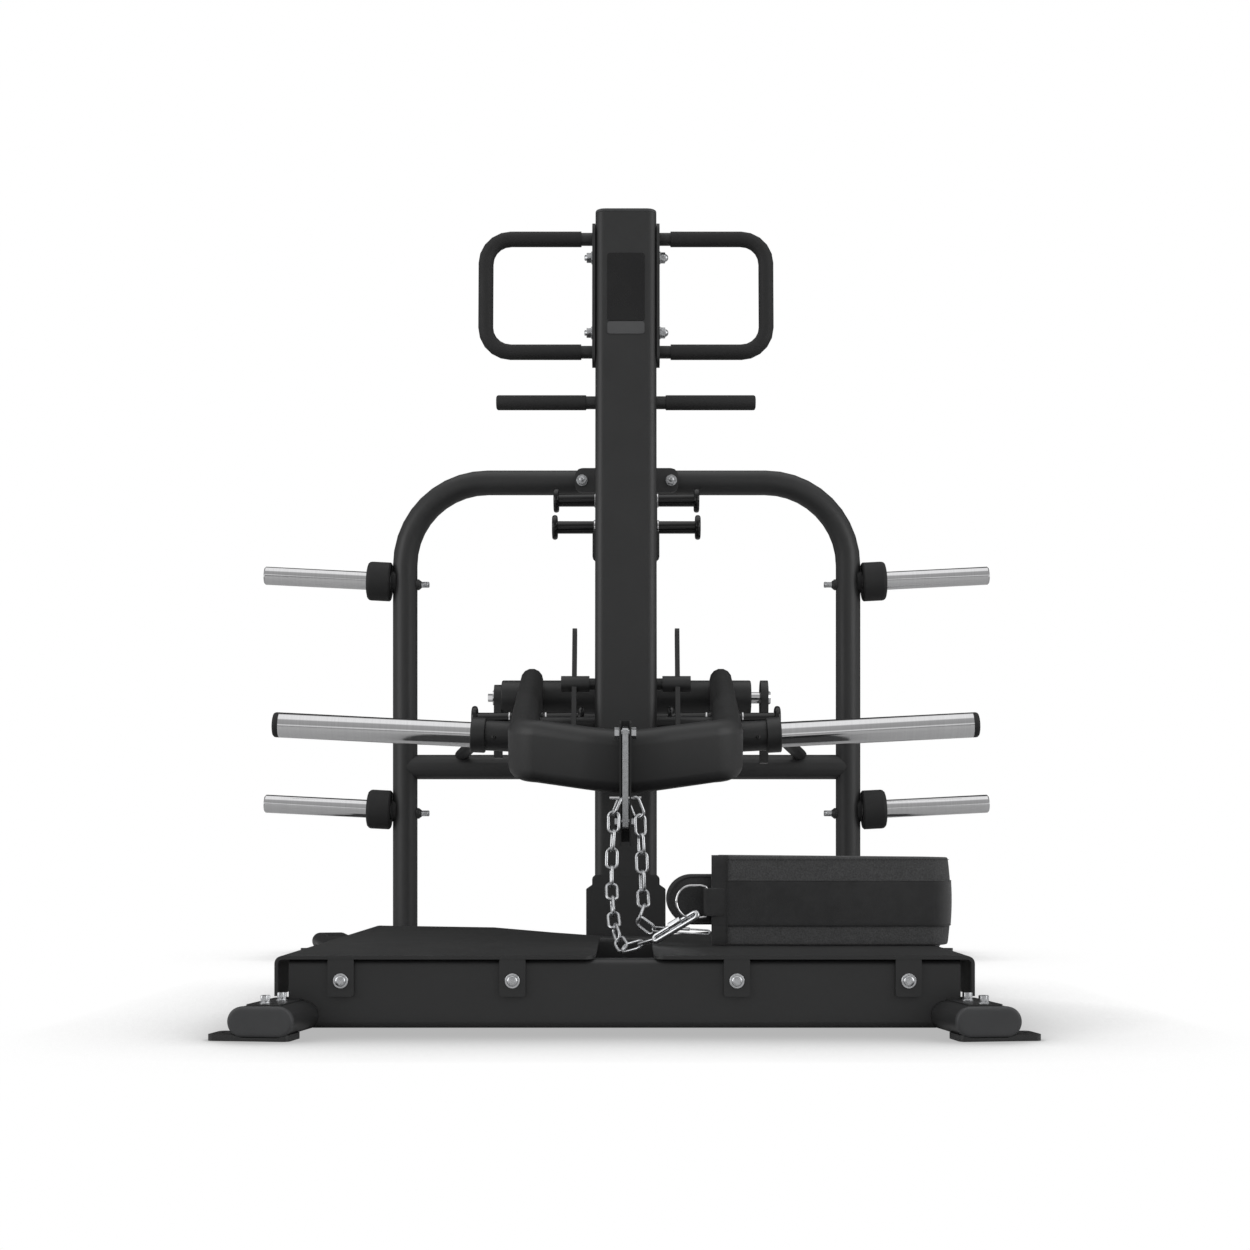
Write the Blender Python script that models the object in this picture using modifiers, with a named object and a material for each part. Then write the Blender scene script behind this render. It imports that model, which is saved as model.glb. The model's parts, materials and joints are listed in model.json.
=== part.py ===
"""Plate-loaded belt squat machine: post and arch frame, swinging lever, lockout catch, chain and belt.

X runs across the machine, Y from the platform's front edge (minus) to the rear feet (plus), Z up.
The origin is on the floor, on the mirror plane, midway between the front and the rear feet.
"""

import math

import bmesh
import bpy
from mathutils import Matrix, Vector

# Clearances, the bite of a welded piece into its neighbour, and how far a cutter passes what it cuts
TOUCH = 0.0003
RUN_FIT = 0.0004
BITE = 0.001
BEYOND = 0.05

# Floor level members
FOOT_LIFT = 0.0055
OVAL_WIDTH = 0.095
OVAL_HEIGHT = 0.043
BEAM_HALF_LENGTH = 0.487
BEAM_DEPTH = 0.050
BEAM_HEIGHT = 0.100
BEAM_BOTTOM = 0.008
BEAM_Y = -1.021
BEAM_CORNER = 0.010
FRONT_FOOT_X = 0.507
FRONT_FOOT_Y = -1.147
FRONT_FOOT_SPLAY = math.radians(8.5)
FRONT_FOOT_LENGTH = 0.170
REAR_FOOT_Y = 1.1429
REAR_FOOT_OUT = 0.230
REAR_FOOT_SPLAY = math.radians(14.0)
REAR_FOOT_LENGTH = 0.430
REAR_BEAM_Y = 0.834
CAP_THICKNESS = 0.010
CAP_LIP = 0.004
CAP_PLUG = 0.018
FOOT_WALL = 0.004
BASE_WIDTH = 0.119
BASE_LENGTH = 0.0585
BASE_THICKNESS = 0.009
BASE_FORWARD = 0.0085
BASE_CORNER = 0.009
BASE_OUT = 0.018
ANCHOR_OUT = 0.062
ANCHOR_BACK = 0.020
ANCHOR_R = 0.004
FOOT_TOP_WIDTH = 0.050
FOOT_TOP_LENGTH = 0.126
FOOT_TOP_THICKNESS = 0.003
FOOT_TOP_CORNER = 0.004
FRONT_FOOT_TOP_START = 0.0055
REAR_FOOT_TOP_START = 0.045

# Platform
SHEET = 0.005
PLATE_OUTER_X = 0.5067
PLATE_GAP_HALF = 0.043
PLATE_FRONT_Y = -1.052
PLATE_REAR_Y = 0.017
PLATE_SLOPE = ((0.259, -0.069), (0.136, -0.287), (0.045, -0.426))
PLATE_INNER_CORNER = 0.020
FLANGE_DROP = 0.058
FLANGE_BEND = 0.011
TAB_WIDTH = 0.038
TAB_DROP = 0.054
TAB_CORNER = 0.0045
TAB_X = (0.1625, 0.411)
PLATFORM_BEAM_Y = -0.340
PLATFORM_BEAM_DEPTH = 0.050
PLATFORM_BEAM_HALF_LENGTH = 0.470

# Post and its socket
POST_WIDTH = 0.120
POST_DEPTH = 0.060
POST_CORNER = 0.018
POST_Y = -0.105
POST_BEND_Z = 0.560
POST_LEAN = math.radians(3.8)
POST_UPPER_LENGTH = 0.959
POST_CAP_THICKNESS = 0.006
SOCKET_BASE_THICKNESS = 0.008
SOCKET_CHEEK = 0.006
SOCKET_HALF_WIDTH = 0.0765
SOCKET_NECK_HALF_WIDTH = 0.065
SOCKET_SHOULDER_Z = 0.190
SOCKET_TOP_Z = 0.217
SOCKET_CORNER = 0.008

# Upper handles, measured up the leaning part of the post from its bend
HANDLE_TOP = 0.914
HANDLE_BOTTOM = 0.6865
HANDLE_REACH = 0.2762
HANDLE_BEND = 0.0495
HANDLE_TUBE_R = 0.0125
GRIP_R = 0.015
GRIP_START = 0.088
HANDLE_PLATE = 0.006
HANDLE_PLATE_WIDTH = 0.044
HANDLE_PLATE_LOW = 0.6561
HANDLE_PLATE_HIGH = 0.9444
HANDLE_BOLT_UP = (0.7252, 0.8765)
HANDLE_BOLT_R = 0.006
LOW_BAR_UP = 0.5853
LOW_GRIP_R = 0.0145
LOW_GRIP_START = 0.064
LOW_GRIP_END = 0.2545
LOW_BAR_END = 0.240

# Arch
ARCH_R = 0.030
ARCH_HALF_WIDTH = 0.540
ARCH_TOP_Z = 1.159
ARCH_BEND = 0.202
ARCH_TIE_Z = 0.466
SADDLE_HALF_WIDTH = 0.125
SADDLE_HEIGHT = 0.0595
SADDLE_THICKNESS = 0.008
SADDLE_CORNER = 0.018
SADDLE_Z = 1.158

# Top beam and column
TOP_BEAM_WIDTH = 0.120
TOP_BEAM_HEIGHT = 0.060
TOP_BEAM_CORNER = 0.008
TOP_BEAM_POST_UP = 0.309
FLANGE_HALF_WIDTH = 0.066
FLANGE_HEIGHT = 0.064
FLANGE_THICKNESS = 0.008
FLANGE_CORNER = 0.010
CHEEK_THICKNESS = 0.008
CHEEK_LENGTH = 0.180
CHEEK_Y = 0.455
CHEEK_RISE = 0.020
CHEEK_DROP = 0.068
CHEEK_CORNER = 0.022
COLUMN_Y = 0.290
COLUMN_SIZE = 0.060

# Plate storage horns on the arch
STORE_R = 0.022
STORE_REACH = 0.342
STORE_TILT = math.radians(2.9)
STORE_Z = (0.3595, 0.9155)
STORE_BEVEL = 0.003
BUMPER_R = 0.0475
BUMPER_CLEAR = 0.004
BUMPER_LENGTH = 0.057
BUMPER_ROUND = 0.010

# Band pegs
PEG_R = 0.0140
PEG_DISC_R = 0.0275
PEG_DISC = 0.012
PEG_RIM = 0.0045
PEG_REACH = 0.1645
PEG_COLLAR_R = 0.0158
PEG_COLLAR = 0.004
HIGH_PEG_Y = 0.500
LOW_PEG_Y = 0.420
LOW_PEG_DROP = 0.0468

# Lever pivot
PIVOT_Y = 0.400
PIVOT_Z = 0.6007
HOUSING_R = 0.0386
HOUSING_HALF_LENGTH = 0.2745
SHAFT_R = 0.0125
EAR_THICKNESS = 0.0165
LEFT_EAR_R = 0.029
LEFT_EAR_BOTTOM_Z = 0.467
RIGHT_EAR_R = 0.0385
RIGHT_EAR_BOTTOM_Z = 0.456
RIGHT_EAR_CLEAR = 0.0210
EAR_FOOT_DEPTH = 0.050
BRACE_R = 0.015
BRACE_IN_Y = 0.425
BRACE_IN_Z = 0.5545
BRACE_OUT_Z = 0.494
BRACE_SPREAD = 0.121
YOKE_BAR_R = 0.018
YOKE_BAR_RISE = 0.012
YOKE_BAR_Y = 0.500
STAY_DROP = 0.012
SHAFT_WASHER = 0.003
SHAFT_HEAD_R = 0.009
SHAFT_HEAD = 0.012
SHAFT_CAP_R = 0.016
SHAFT_CAP = 0.006

# Lever, drawn flat and tilted about the pivot
LEVER_TILT = math.radians(10.88)
ARM_RISE = 0.0053
LEVER_HEIGHT = 0.110
LEVER_THICKNESS = 0.050
ARM_PIVOT_X = 0.209
ARM_CORNER_X = 0.1818
ARM_TAIL = 0.046
CORNER_REACH = 0.892
CORNER_RADIUS = 0.050
BOW_ANGLE = math.radians(21.0)
BOW_ROUND = 0.070
BOW_DROP = 0.0125
TIE_R = 0.016
TIE_Y = -0.048
TIE_Z = 0.512
HUB_Y = -0.030
HUB_Z = 0.4925
HUB_R = 0.030
HUB_END = 0.278
COLLAR_R = 0.035
COLLAR_END = 0.307
HORN_R = 0.025
HORN_END = 0.688
HORN_CAP_END = 0.700
HORN_TILT = math.radians(2.9)
HORN_SOCKET = 0.022
HORN_CAP_ROUND = 0.006
LEVER_PEG_Y = 0.060
LEVER_PEG_Z = 0.530
LEVER_PEG_OUT = 0.313
LEVER_PEG_IN = 0.085

# Chain hanger on the lever's crossbar
HANGER_HALF_WIDTH = 0.010
HANGER_SHEET = 0.003
HANGER_DEPTH = 0.042
HANGER_TOP = 0.0685
HANGER_BOTTOM = -0.1420
LINK_BAR_THICKNESS = 0.010
LINK_BAR_WIDTH = 0.030
LINK_BAR_TOP = 0.0600
LINK_BAR_BOTTOM = -0.1140
LINK_BAR_CORNER = 0.005
HANGER_BOLT_FORWARD = 0.0244
HANGER_BOLT_R = 0.006
HANGER_BOLT_UP = (-0.1022, 0.0500)
HANGER_NUT_R = 0.010
HANGER_NUT = 0.008
CHAIN_PIN_UP = -0.0603
CHAIN_PIN_FORWARD = 0.009
CHAIN_PIN_R = 0.003
CHAIN_PIN_HALF_LENGTH = 0.027

# Lockout catch
CATCH_Y = -0.100
CATCH_Z = 0.588
CATCH_REST = math.radians(-20.0)
CATCH_SHAFT_R = 0.0115
CATCH_TUBE_R = 0.016
CATCH_TUBE_START = 0.071
CATCH_TUBE_END = 0.126
CATCH_PLATE_X = 0.096
CATCH_PLATE = 0.009
CATCH_BAR_HALF = 0.012
CATCH_TOP = 0.1195
CATCH_FOOT_HEIGHT = 0.016
CATCH_FOOT_REACH = 0.060
CATCH_CORNER = 0.006
CATCH_THROAT = 0.010

# Chain
WIRE_R = 0.0025
LINK_LENGTH = 0.0385
LINK_WIDTH = 0.023
CHAIN_X = 0.0225
CHAIN_SLACK = 0.0012

# Belt
BELT_WIDTH = 0.1455
BELT_THICKNESS = 0.014
BELT_LOW = 0.1136
BELT_FRONT_Y = -0.775
BELT_BACK_Y = -0.665
BELT_LEFT_X = 0.1376
BELT_BACK_SHORTER = 0.030
BELT_RIGHT_X = 0.524
TONGUE_THICKNESS = 0.005
TONGUE_WIDTH = 0.083
TONGUE_LOW = 0.1455
TONGUE_REACH = 0.0706

FACETS = 20


def start_scene():
    """Empty the file and make the two collections."""
    for obj in list(bpy.data.objects):
        bpy.data.objects.remove(obj, do_unlink=True)
    for title in ("squat_machine", "cutters"):
        if title not in bpy.data.collections:
            bpy.context.scene.collection.children.link(bpy.data.collections.new(title))


def finish(name, colour, roughness, metallic):
    """A Principled material, one for each sub-part."""
    material = bpy.data.materials.new(name)
    material.use_nodes = True
    shader = material.node_tree.nodes["Principled BSDF"]
    shader.inputs["Base Color"].default_value = (*colour, 1.0)
    shader.inputs["Roughness"].default_value = roughness
    shader.inputs["Metallic"].default_value = metallic
    return material


FINISHES = {
    "paint": ((0.028, 0.029, 0.031), 0.5, 0.1),
    "cap": ((0.055, 0.056, 0.058), 0.55, 0.0),
    "rubber": ((0.012, 0.012, 0.012), 0.7, 0.0),
    "gloss": ((0.010, 0.010, 0.011), 0.25, 0.0),
    "chrome": ((0.72, 0.72, 0.73), 0.15, 1.0),
    "zinc": ((0.62, 0.63, 0.65), 0.35, 1.0),
    "fabric": ((0.035, 0.035, 0.037), 0.9, 0.0),
}


def register(obj, look):
    """Link an object to the part's collection and give it its own material."""
    bpy.data.collections["squat_machine"].objects.link(obj)
    if look:
        colour, roughness, metallic = FINISHES[look]
        obj.data.materials.clear()
        obj.data.materials.append(finish(obj.name, colour, roughness, metallic))
    return obj


def soften(mesh, angle=35.0):
    """Smooth shading with crisp edges."""
    mesh.shade_smooth()
    mesh.set_sharp_from_angle(angle=math.radians(angle))


def from_bmesh(name, bm, look=None, matrix=None):
    """Turn a bmesh into an object placed by a matrix."""
    mesh = bpy.data.meshes.new(name)
    bm.to_mesh(mesh)
    bm.free()
    soften(mesh)
    obj = bpy.data.objects.new(name, mesh)
    register(obj, look)
    if matrix is not None:
        obj.matrix_world = matrix
    return obj


def aim(origin, direction):
    """A frame at origin whose Z axis points along direction."""
    turn = Vector(direction).normalized().to_track_quat("Z", "Y")
    return Matrix.Translation(origin) @ turn.to_matrix().to_4x4()


def rod(name, start, end, radius, look=None, facets=FACETS, tip=None):
    """A round bar between two points; tip gives a cone its far radius."""
    start, end = Vector(start), Vector(end)
    bm = bmesh.new()
    bmesh.ops.create_cone(bm, cap_ends=True, segments=facets, radius1=radius,
                          radius2=radius if tip is None else tip, depth=(end - start).length)
    return from_bmesh(name, bm, look, aim((start + end) / 2, end - start))


def block(name, low, high, look=None):
    """A plain box between two corners."""
    low, high = Vector(low), Vector(high)
    return block_at(name, high - low, Matrix.Translation((low + high) / 2), look)


def block_at(name, size, matrix, look=None):
    """A plain box of a size, placed by a matrix."""
    bm = bmesh.new()
    bmesh.ops.create_cube(bm, size=1.0)
    bmesh.ops.scale(bm, vec=Vector(size), verts=bm.verts)
    return from_bmesh(name, bm, look, matrix)


def turned(name, profile, origin, direction, look=None, facets=FACETS):
    """A turned piece: (radius, height) pairs from the top down, spun round the given axis."""
    mesh = bpy.data.meshes.new(name)
    points = [(radius, 0.0, height) for radius, height in profile]
    mesh.from_pydata(points, [(i, i + 1) for i in range(len(points) - 1)], [])
    obj = bpy.data.objects.new(name, mesh)
    register(obj, look)
    obj.matrix_world = aim(origin, direction)
    screw = obj.modifiers.new("turn", "SCREW")
    screw.axis = "Z"
    screw.steps = facets
    screw.render_steps = facets
    screw.use_merge_vertices = True
    screw.merge_threshold = 0.00001
    return obj


def arc(centre, radius, start, end, steps):
    """Points along an arc, both ends included; angles in degrees."""
    turn = [math.radians(start + (end - start) * i / steps) for i in range(steps + 1)]
    return [(centre[0] + radius * math.cos(a), centre[1] + radius * math.sin(a)) for a in turn]


def rounded(width, height, radius, steps=3):
    """Outline of a rectangle with round corners, centred on the origin."""
    x, y = width / 2 - radius, height / 2 - radius
    corners = ((x, y, 0), (-x, y, 90), (-x, -y, 180), (x, -y, 270))
    return [p for cx, cy, a in corners for p in arc((cx, cy), radius, a, a + 90, steps)]


def stadium(width, height, steps=6):
    """Outline of a flat-oval tube: two straight sides and two half circles."""
    if width >= height:
        r, reach = height / 2, (width - height) / 2
        return arc((reach, 0), r, -90, 90, steps) + arc((-reach, 0), r, 90, 270, steps)
    r, reach = width / 2, (height - width) / 2
    return arc((0, reach), r, 0, 180, steps) + arc((0, -reach), r, 180, 360, steps)


def curve_data(name, points, closed, flat=False):
    """A curve datablock with one polyline."""
    data = bpy.data.curves.new(name, "CURVE")
    data.dimensions = "2D" if flat else "3D"
    line = data.splines.new("POLY")
    line.points.add(len(points) - 1)
    for slot, point in zip(line.points, points):
        full = tuple(point) + (0.0,) * (3 - len(point))
        slot.co = (*full, 1.0)
    line.use_cyclic_u = closed
    return data


def to_mesh(curve_obj, look):
    """Swap a curve object for a closed mesh object of the same name and place."""
    depsgraph = bpy.context.evaluated_depsgraph_get()
    mesh = bpy.data.meshes.new_from_object(curve_obj.evaluated_get(depsgraph))
    bm = bmesh.new()
    bm.from_mesh(mesh)
    bmesh.ops.remove_doubles(bm, verts=bm.verts, dist=0.00001)
    bmesh.ops.recalc_face_normals(bm, faces=bm.faces)
    bm.to_mesh(mesh)
    bm.free()
    mesh.materials.clear()
    soften(mesh)
    name, place = curve_obj.name, curve_obj.matrix_world.copy()
    curve = curve_obj.data
    bpy.data.objects.remove(curve_obj, do_unlink=True)
    bpy.data.curves.remove(curve)
    obj = bpy.data.objects.new(name, mesh)
    register(obj, look)
    obj.matrix_world = place
    return obj


def slab(name, outline, thickness, matrix, look=None):
    """A flat outline given a thickness, centred on the matrix's own XY plane."""
    data = curve_data(name, outline, True, flat=True)
    data.fill_mode = "BOTH"
    data.extrude = thickness / 2
    obj = bpy.data.objects.new(name, data)
    register(obj, None)
    obj.matrix_world = matrix
    bpy.context.view_layer.update()
    return to_mesh(obj, look)


def pipe(name, points, radius, look=None, resolution=6, closed=False):
    """A round tube swept along a polyline."""
    data = curve_data(name, points, closed)
    data.bevel_depth = radius
    data.bevel_resolution = resolution
    data.use_fill_caps = not closed
    obj = bpy.data.objects.new(name, data)
    register(obj, None)
    bpy.context.view_layer.update()
    return to_mesh(obj, look)


def sweep(name, points, outline, look=None):
    """A tube of any outline swept along a polyline with its outline's Y axis kept up."""
    shape = bpy.data.objects.new(name + "_outline", curve_data(name + "_outline", outline, True, flat=True))
    bpy.data.collections["cutters"].objects.link(shape)
    data = curve_data(name, points, False)
    data.twist_mode = "Z_UP"
    data.bevel_mode = "OBJECT"
    data.bevel_object = shape
    data.use_fill_caps = True
    obj = bpy.data.objects.new(name, data)
    register(obj, None)
    bpy.context.view_layer.update()
    obj = to_mesh(obj, look)
    bpy.data.objects.remove(shape, do_unlink=True)
    return obj


def combine(obj, other, operation):
    """Add or cut another object with an exact Boolean; the other one becomes a guide."""
    step = obj.modifiers.new(operation.lower(), "BOOLEAN")
    step.operation = operation
    step.solver = "EXACT"
    step.object = other
    for group in list(other.users_collection):
        group.objects.unlink(other)
    bpy.data.collections["cutters"].objects.link(other)
    other.hide_render = True
    other.display_type = "WIRE"


def weld(obj, *others):
    for other in others:
        combine(obj, other, "UNION")
    return obj


def cut(obj, *others):
    for other in others:
        combine(obj, other, "DIFFERENCE")


def ease(obj, width, segments=2, angle=40.0):
    """Rounded edges."""
    bevel = obj.modifiers.new("edges", "BEVEL")
    bevel.width = width
    bevel.segments = segments
    bevel.limit_method = "ANGLE"
    bevel.angle_limit = math.radians(angle)
    return obj


def carry(name, origin, *titles):
    """Hang the named pieces, where they are, on an empty at their joint."""
    empty = bpy.data.objects.new(name, None)
    bpy.data.collections["squat_machine"].objects.link(empty)
    empty.location = origin
    bpy.context.view_layer.update()
    for title in titles:
        obj = bpy.data.objects[title]
        obj.parent = empty
        obj.matrix_parent_inverse = empty.matrix_world.inverted()


ALONG_X = Matrix(((0, 0, 1, 0), (1, 0, 0, 0), (0, 1, 0, 0), (0, 0, 0, 1)))
ALONG_Y = Matrix(((1, 0, 0, 0), (0, 0, -1, 0), (0, 1, 0, 0), (0, 0, 0, 1)))


def at(x, y, z):
    return Matrix.Translation((x, y, z))


def side_name(side):
    return "left" if side < 0 else "right"


def tube_top():
    return FOOT_LIFT + OVAL_HEIGHT


def plate_bottom():
    return BEAM_BOTTOM + BEAM_HEIGHT + TOUCH


def oval_tube(name, length, matrix, look="paint", grow=0.0):
    """A flat-oval floor tube lying along its own Z axis."""
    return slab(name, stadium(OVAL_WIDTH + 2 * grow, OVAL_HEIGHT + 2 * grow), length, matrix, look)


def foot_frame(side, x, y, heading):
    """Origin on the floor under a foot's open end, Y running back along the tube."""
    return Matrix.Translation((side * x, y, 0.0)) @ Matrix.Rotation(heading, 4, "Z")


def foot_top(name, frame, top_start, grow=0.0):
    """The flat plate welded on a foot's tube, or the room it needs."""
    return slab(name, rounded(FOOT_TOP_WIDTH + 2 * grow, FOOT_TOP_LENGTH + 2 * grow, FOOT_TOP_CORNER),
                FOOT_TOP_THICKNESS + 2 * grow,
                frame @ at(0, top_start + FOOT_TOP_LENGTH / 2, tube_top() - BITE + FOOT_TOP_THICKNESS / 2))


def foot(name, frame, length, out, top_start):
    """One floor foot: flat-oval tube, base plate and top plate, with a plastic cap in its end."""
    middle = FOOT_LIFT + OVAL_HEIGHT / 2
    tube = oval_tube(name, length, frame @ at(0, length / 2, middle) @ ALONG_Y)
    base = slab(name + "_base", rounded(BASE_WIDTH, BASE_LENGTH, BASE_CORNER), BASE_THICKNESS,
                frame @ at(out * BASE_OUT, BASE_LENGTH / 2 - BASE_FORWARD, BASE_THICKNESS / 2))
    socket = slab(name + "_mouth",
                  stadium(OVAL_WIDTH - 2 * FOOT_WALL, OVAL_HEIGHT - 2 * FOOT_WALL),
                  2 * CAP_PLUG + 4 * TOUCH, frame @ at(0, 0, middle) @ ALONG_Y)
    anchor = (out * ANCHOR_OUT, ANCHOR_BACK)
    hole = rod(name + "_hole", frame @ Vector((*anchor, -BEYOND)),
               frame @ Vector((*anchor, BASE_THICKNESS + BEYOND)), ANCHOR_R, facets=12)
    room = 2 * CAP_THICKNESS
    notch = oval_tube(name + "_notch", room, frame @ at(0, -(room + TOUCH) / 2, middle) @ ALONG_Y, None, TOUCH)
    weld(tube, base, foot_top(name + "_top", frame, top_start))
    cut(tube, socket, hole, notch)
    cap = slab(name + "_cap", stadium(OVAL_WIDTH, OVAL_HEIGHT), CAP_THICKNESS,
               frame @ at(0, -CAP_THICKNESS / 2 - TOUCH, middle) @ ALONG_Y, "cap")
    inner = 2 * (FOOT_WALL + TOUCH)
    plug = slab(name + "_plug", stadium(OVAL_WIDTH - inner, OVAL_HEIGHT - inner),
                CAP_PLUG, frame @ at(0, CAP_PLUG / 2 - 2 * BITE, middle) @ ALONG_Y)
    ease(cap, CAP_LIP, 2, 60.0)
    weld(cap, plug)


def front_foot_frame(side):
    return foot_frame(side, FRONT_FOOT_X, FRONT_FOOT_Y, side * FRONT_FOOT_SPLAY)


def rear_foot_frame(side):
    return foot_frame(side, ARCH_HALF_WIDTH + REAR_FOOT_OUT, REAR_FOOT_Y, math.pi - side * REAR_FOOT_SPLAY)


def feet():
    for side in (-1, 1):
        foot("front_foot_" + side_name(side), front_foot_frame(side), FRONT_FOOT_LENGTH, side,
             FRONT_FOOT_TOP_START)
        foot("rear_foot_" + side_name(side), rear_foot_frame(side), REAR_FOOT_LENGTH, -side,
             REAR_FOOT_TOP_START)


def floor_beams():
    """Front beam, spine, rear beam and the platform's middle beam."""
    top = BEAM_BOTTOM + BEAM_HEIGHT
    middle = FOOT_LIFT + OVAL_HEIGHT / 2
    beam = slab("front_beam", rounded(BEAM_DEPTH, BEAM_HEIGHT, BEAM_CORNER), 2 * BEAM_HALF_LENGTH,
                at(0, BEAM_Y, BEAM_BOTTOM + BEAM_HEIGHT / 2) @ ALONG_X, "paint")
    for side in (-1, 1):
        frame = front_foot_frame(side)
        cut(beam, oval_tube("beam_cope", 2 * FRONT_FOOT_LENGTH, frame @ at(0, FRONT_FOOT_LENGTH, middle) @ ALONG_Y,
                            None, TOUCH),
            foot_top("beam_notch", frame, FRONT_FOOT_TOP_START, TOUCH))
    front = BEAM_Y + BEAM_DEPTH / 2 + TOUCH
    back = REAR_BEAM_Y - OVAL_WIDTH / 2 - TOUCH
    oval_tube("spine", back - front, at(0, (front + back) / 2, middle) @ ALONG_Y)
    rear = slab("rear_beam", stadium(OVAL_WIDTH, OVAL_HEIGHT), 2 * (ARCH_HALF_WIDTH + REAR_FOOT_OUT),
                at(0, REAR_BEAM_Y, middle) @ ALONG_X, "paint")
    for side in (-1, 1):
        wide, past = OVAL_WIDTH + 2 * TOUCH, REAR_FOOT_LENGTH
        cut(rear, block_at("rear_beam_end", (2 * past, 2 * past, wide),
                           rear_foot_frame(side) @ at(-side * (past - wide / 2), past / 2, middle)))
    slab("platform_beam", rounded(PLATFORM_BEAM_DEPTH, top - tube_top() - TOUCH, BEAM_CORNER),
         2 * PLATFORM_BEAM_HALF_LENGTH,
         at(0, PLATFORM_BEAM_Y, (top + tube_top() + TOUCH) / 2) @ ALONG_X, "paint")


def footplate_outline(side):
    """Plan of one footplate, seen from above."""
    r = PLATE_INNER_CORNER
    corner = arc((PLATE_GAP_HALF + r, PLATE_FRONT_Y + r), r, 180, 270, 4)
    outer = PLATE_OUTER_X - FLANGE_BEND
    plan = [(outer, PLATE_REAR_Y), *PLATE_SLOPE] + corner + [(outer, PLATE_FRONT_Y)]
    return [(side * x, y) for x, y in plan]


def footplates():
    """Folded sheet: top plate, bent outer flange and two bolting tabs each."""
    bottom = plate_bottom()
    for side in (-1, 1):
        name = "footplate_" + side_name(side)
        plate = slab(name, footplate_outline(side), SHEET, at(0, 0, bottom + SHEET / 2), "paint")
        fold_r = FLANGE_BEND
        centre = (PLATE_OUTER_X - fold_r, bottom + SHEET - fold_r)
        low = bottom + SHEET - FLANGE_DROP
        inward = centre[0] - SHEET
        fold = [(inward, bottom + SHEET)] + arc(centre, fold_r, 90, 0, 6)
        fold += [(PLATE_OUTER_X, low), (PLATE_OUTER_X - SHEET, low)]
        fold += arc(centre, fold_r - SHEET, 0, 90, 6) + [(inward, bottom)]
        length = PLATE_REAR_Y - PLATE_FRONT_Y
        flange = slab(name + "_flange", [(side * x, z) for x, z in fold], length,
                      at(0, (PLATE_REAR_Y + PLATE_FRONT_Y) / 2, 0) @ ALONG_Y)
        weld(plate, flange)
        height = TAB_DROP + 2 * BITE
        for x in TAB_X:
            tab = slab(name + "_tab", rounded(TAB_WIDTH, height, TAB_CORNER), SHEET,
                       at(side * x, BEAM_Y - BEAM_DEPTH / 2 - TOUCH - SHEET / 2,
                          bottom + 2 * BITE - height / 2) @ ALONG_Y)
            weld(plate, tab)


def post_centre_line():
    """The post's centre line: upright below, leaning back above the bend."""
    foot_z = tube_top() + 2 * TOUCH + SOCKET_BASE_THICKNESS
    top = Vector((0, POST_Y, POST_BEND_Z)) + POST_UPPER_LENGTH * Vector(
        (0, math.sin(POST_LEAN), math.cos(POST_LEAN)))
    return [(0, POST_Y, foot_z), (0, POST_Y, POST_BEND_Z), tuple(top)]


def lean_frame():
    """Origin at the post's bend, Z up the leaning part."""
    return Matrix.Translation((0, POST_Y, POST_BEND_Z)) @ Matrix.Rotation(-POST_LEAN, 4, "X")


def post():
    """Bent rectangular tube with its top cap, bored for the handles' bolts, the low bar and the catch."""
    lean = lean_frame()
    outline = rounded(POST_WIDTH, POST_DEPTH, POST_CORNER, 4)
    tube = slab("post", outline, 1.0, at(0, 0, 0), "paint")
    bend_prism(tube)
    cap = slab("post_cap", outline, POST_CAP_THICKNESS,
               lean @ at(0, 0, POST_UPPER_LENGTH + TOUCH + POST_CAP_THICKNESS / 2), "cap")
    ease(cap, POST_CAP_THICKNESS / 2, 2, 60.0)
    out = POST_WIDTH / 2 + BEYOND
    for up in HANDLE_BOLT_UP:
        cut(tube, rod("post_bolt_hole", lean @ Vector((-out, 0, up)), lean @ Vector((out, 0, up)),
                      HANDLE_BOLT_R + TOUCH, facets=16))
    cut(tube, rod("post_bar_hole", lean @ Vector((-out, 0, LOW_BAR_UP)),
                  lean @ Vector((out, 0, LOW_BAR_UP)), HANDLE_TUBE_R + TOUCH, facets=24))
    cut(tube, rod("post_catch_hole", (-out, CATCH_Y, CATCH_Z), (out, CATCH_Y, CATCH_Z),
                  CATCH_SHAFT_R + RUN_FIT, facets=24))


def bend_prism(obj):
    """Turn a prism one metre long into the bent post: three rings at its foot, bend and top."""
    foot_z = post_centre_line()[0][2]
    mesh = obj.data
    bm = bmesh.new()
    bm.from_mesh(mesh)
    bmesh.ops.bisect_plane(bm, geom=bm.verts[:] + bm.edges[:] + bm.faces[:],
                           plane_co=(0, 0, 0), plane_no=(0, 0, 1))
    for vert in bm.verts:
        x, y, z = vert.co
        if z < -0.25:
            vert.co = (x, POST_Y + y, foot_z)
        elif z < 0.25:
            vert.co = (x, POST_Y + y, POST_BEND_Z - y * math.tan(POST_LEAN / 2))
        else:
            vert.co = lean_frame() @ Vector((x, y, POST_UPPER_LENGTH))
    bm.to_mesh(mesh)
    bm.free()
    soften(mesh)


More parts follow.
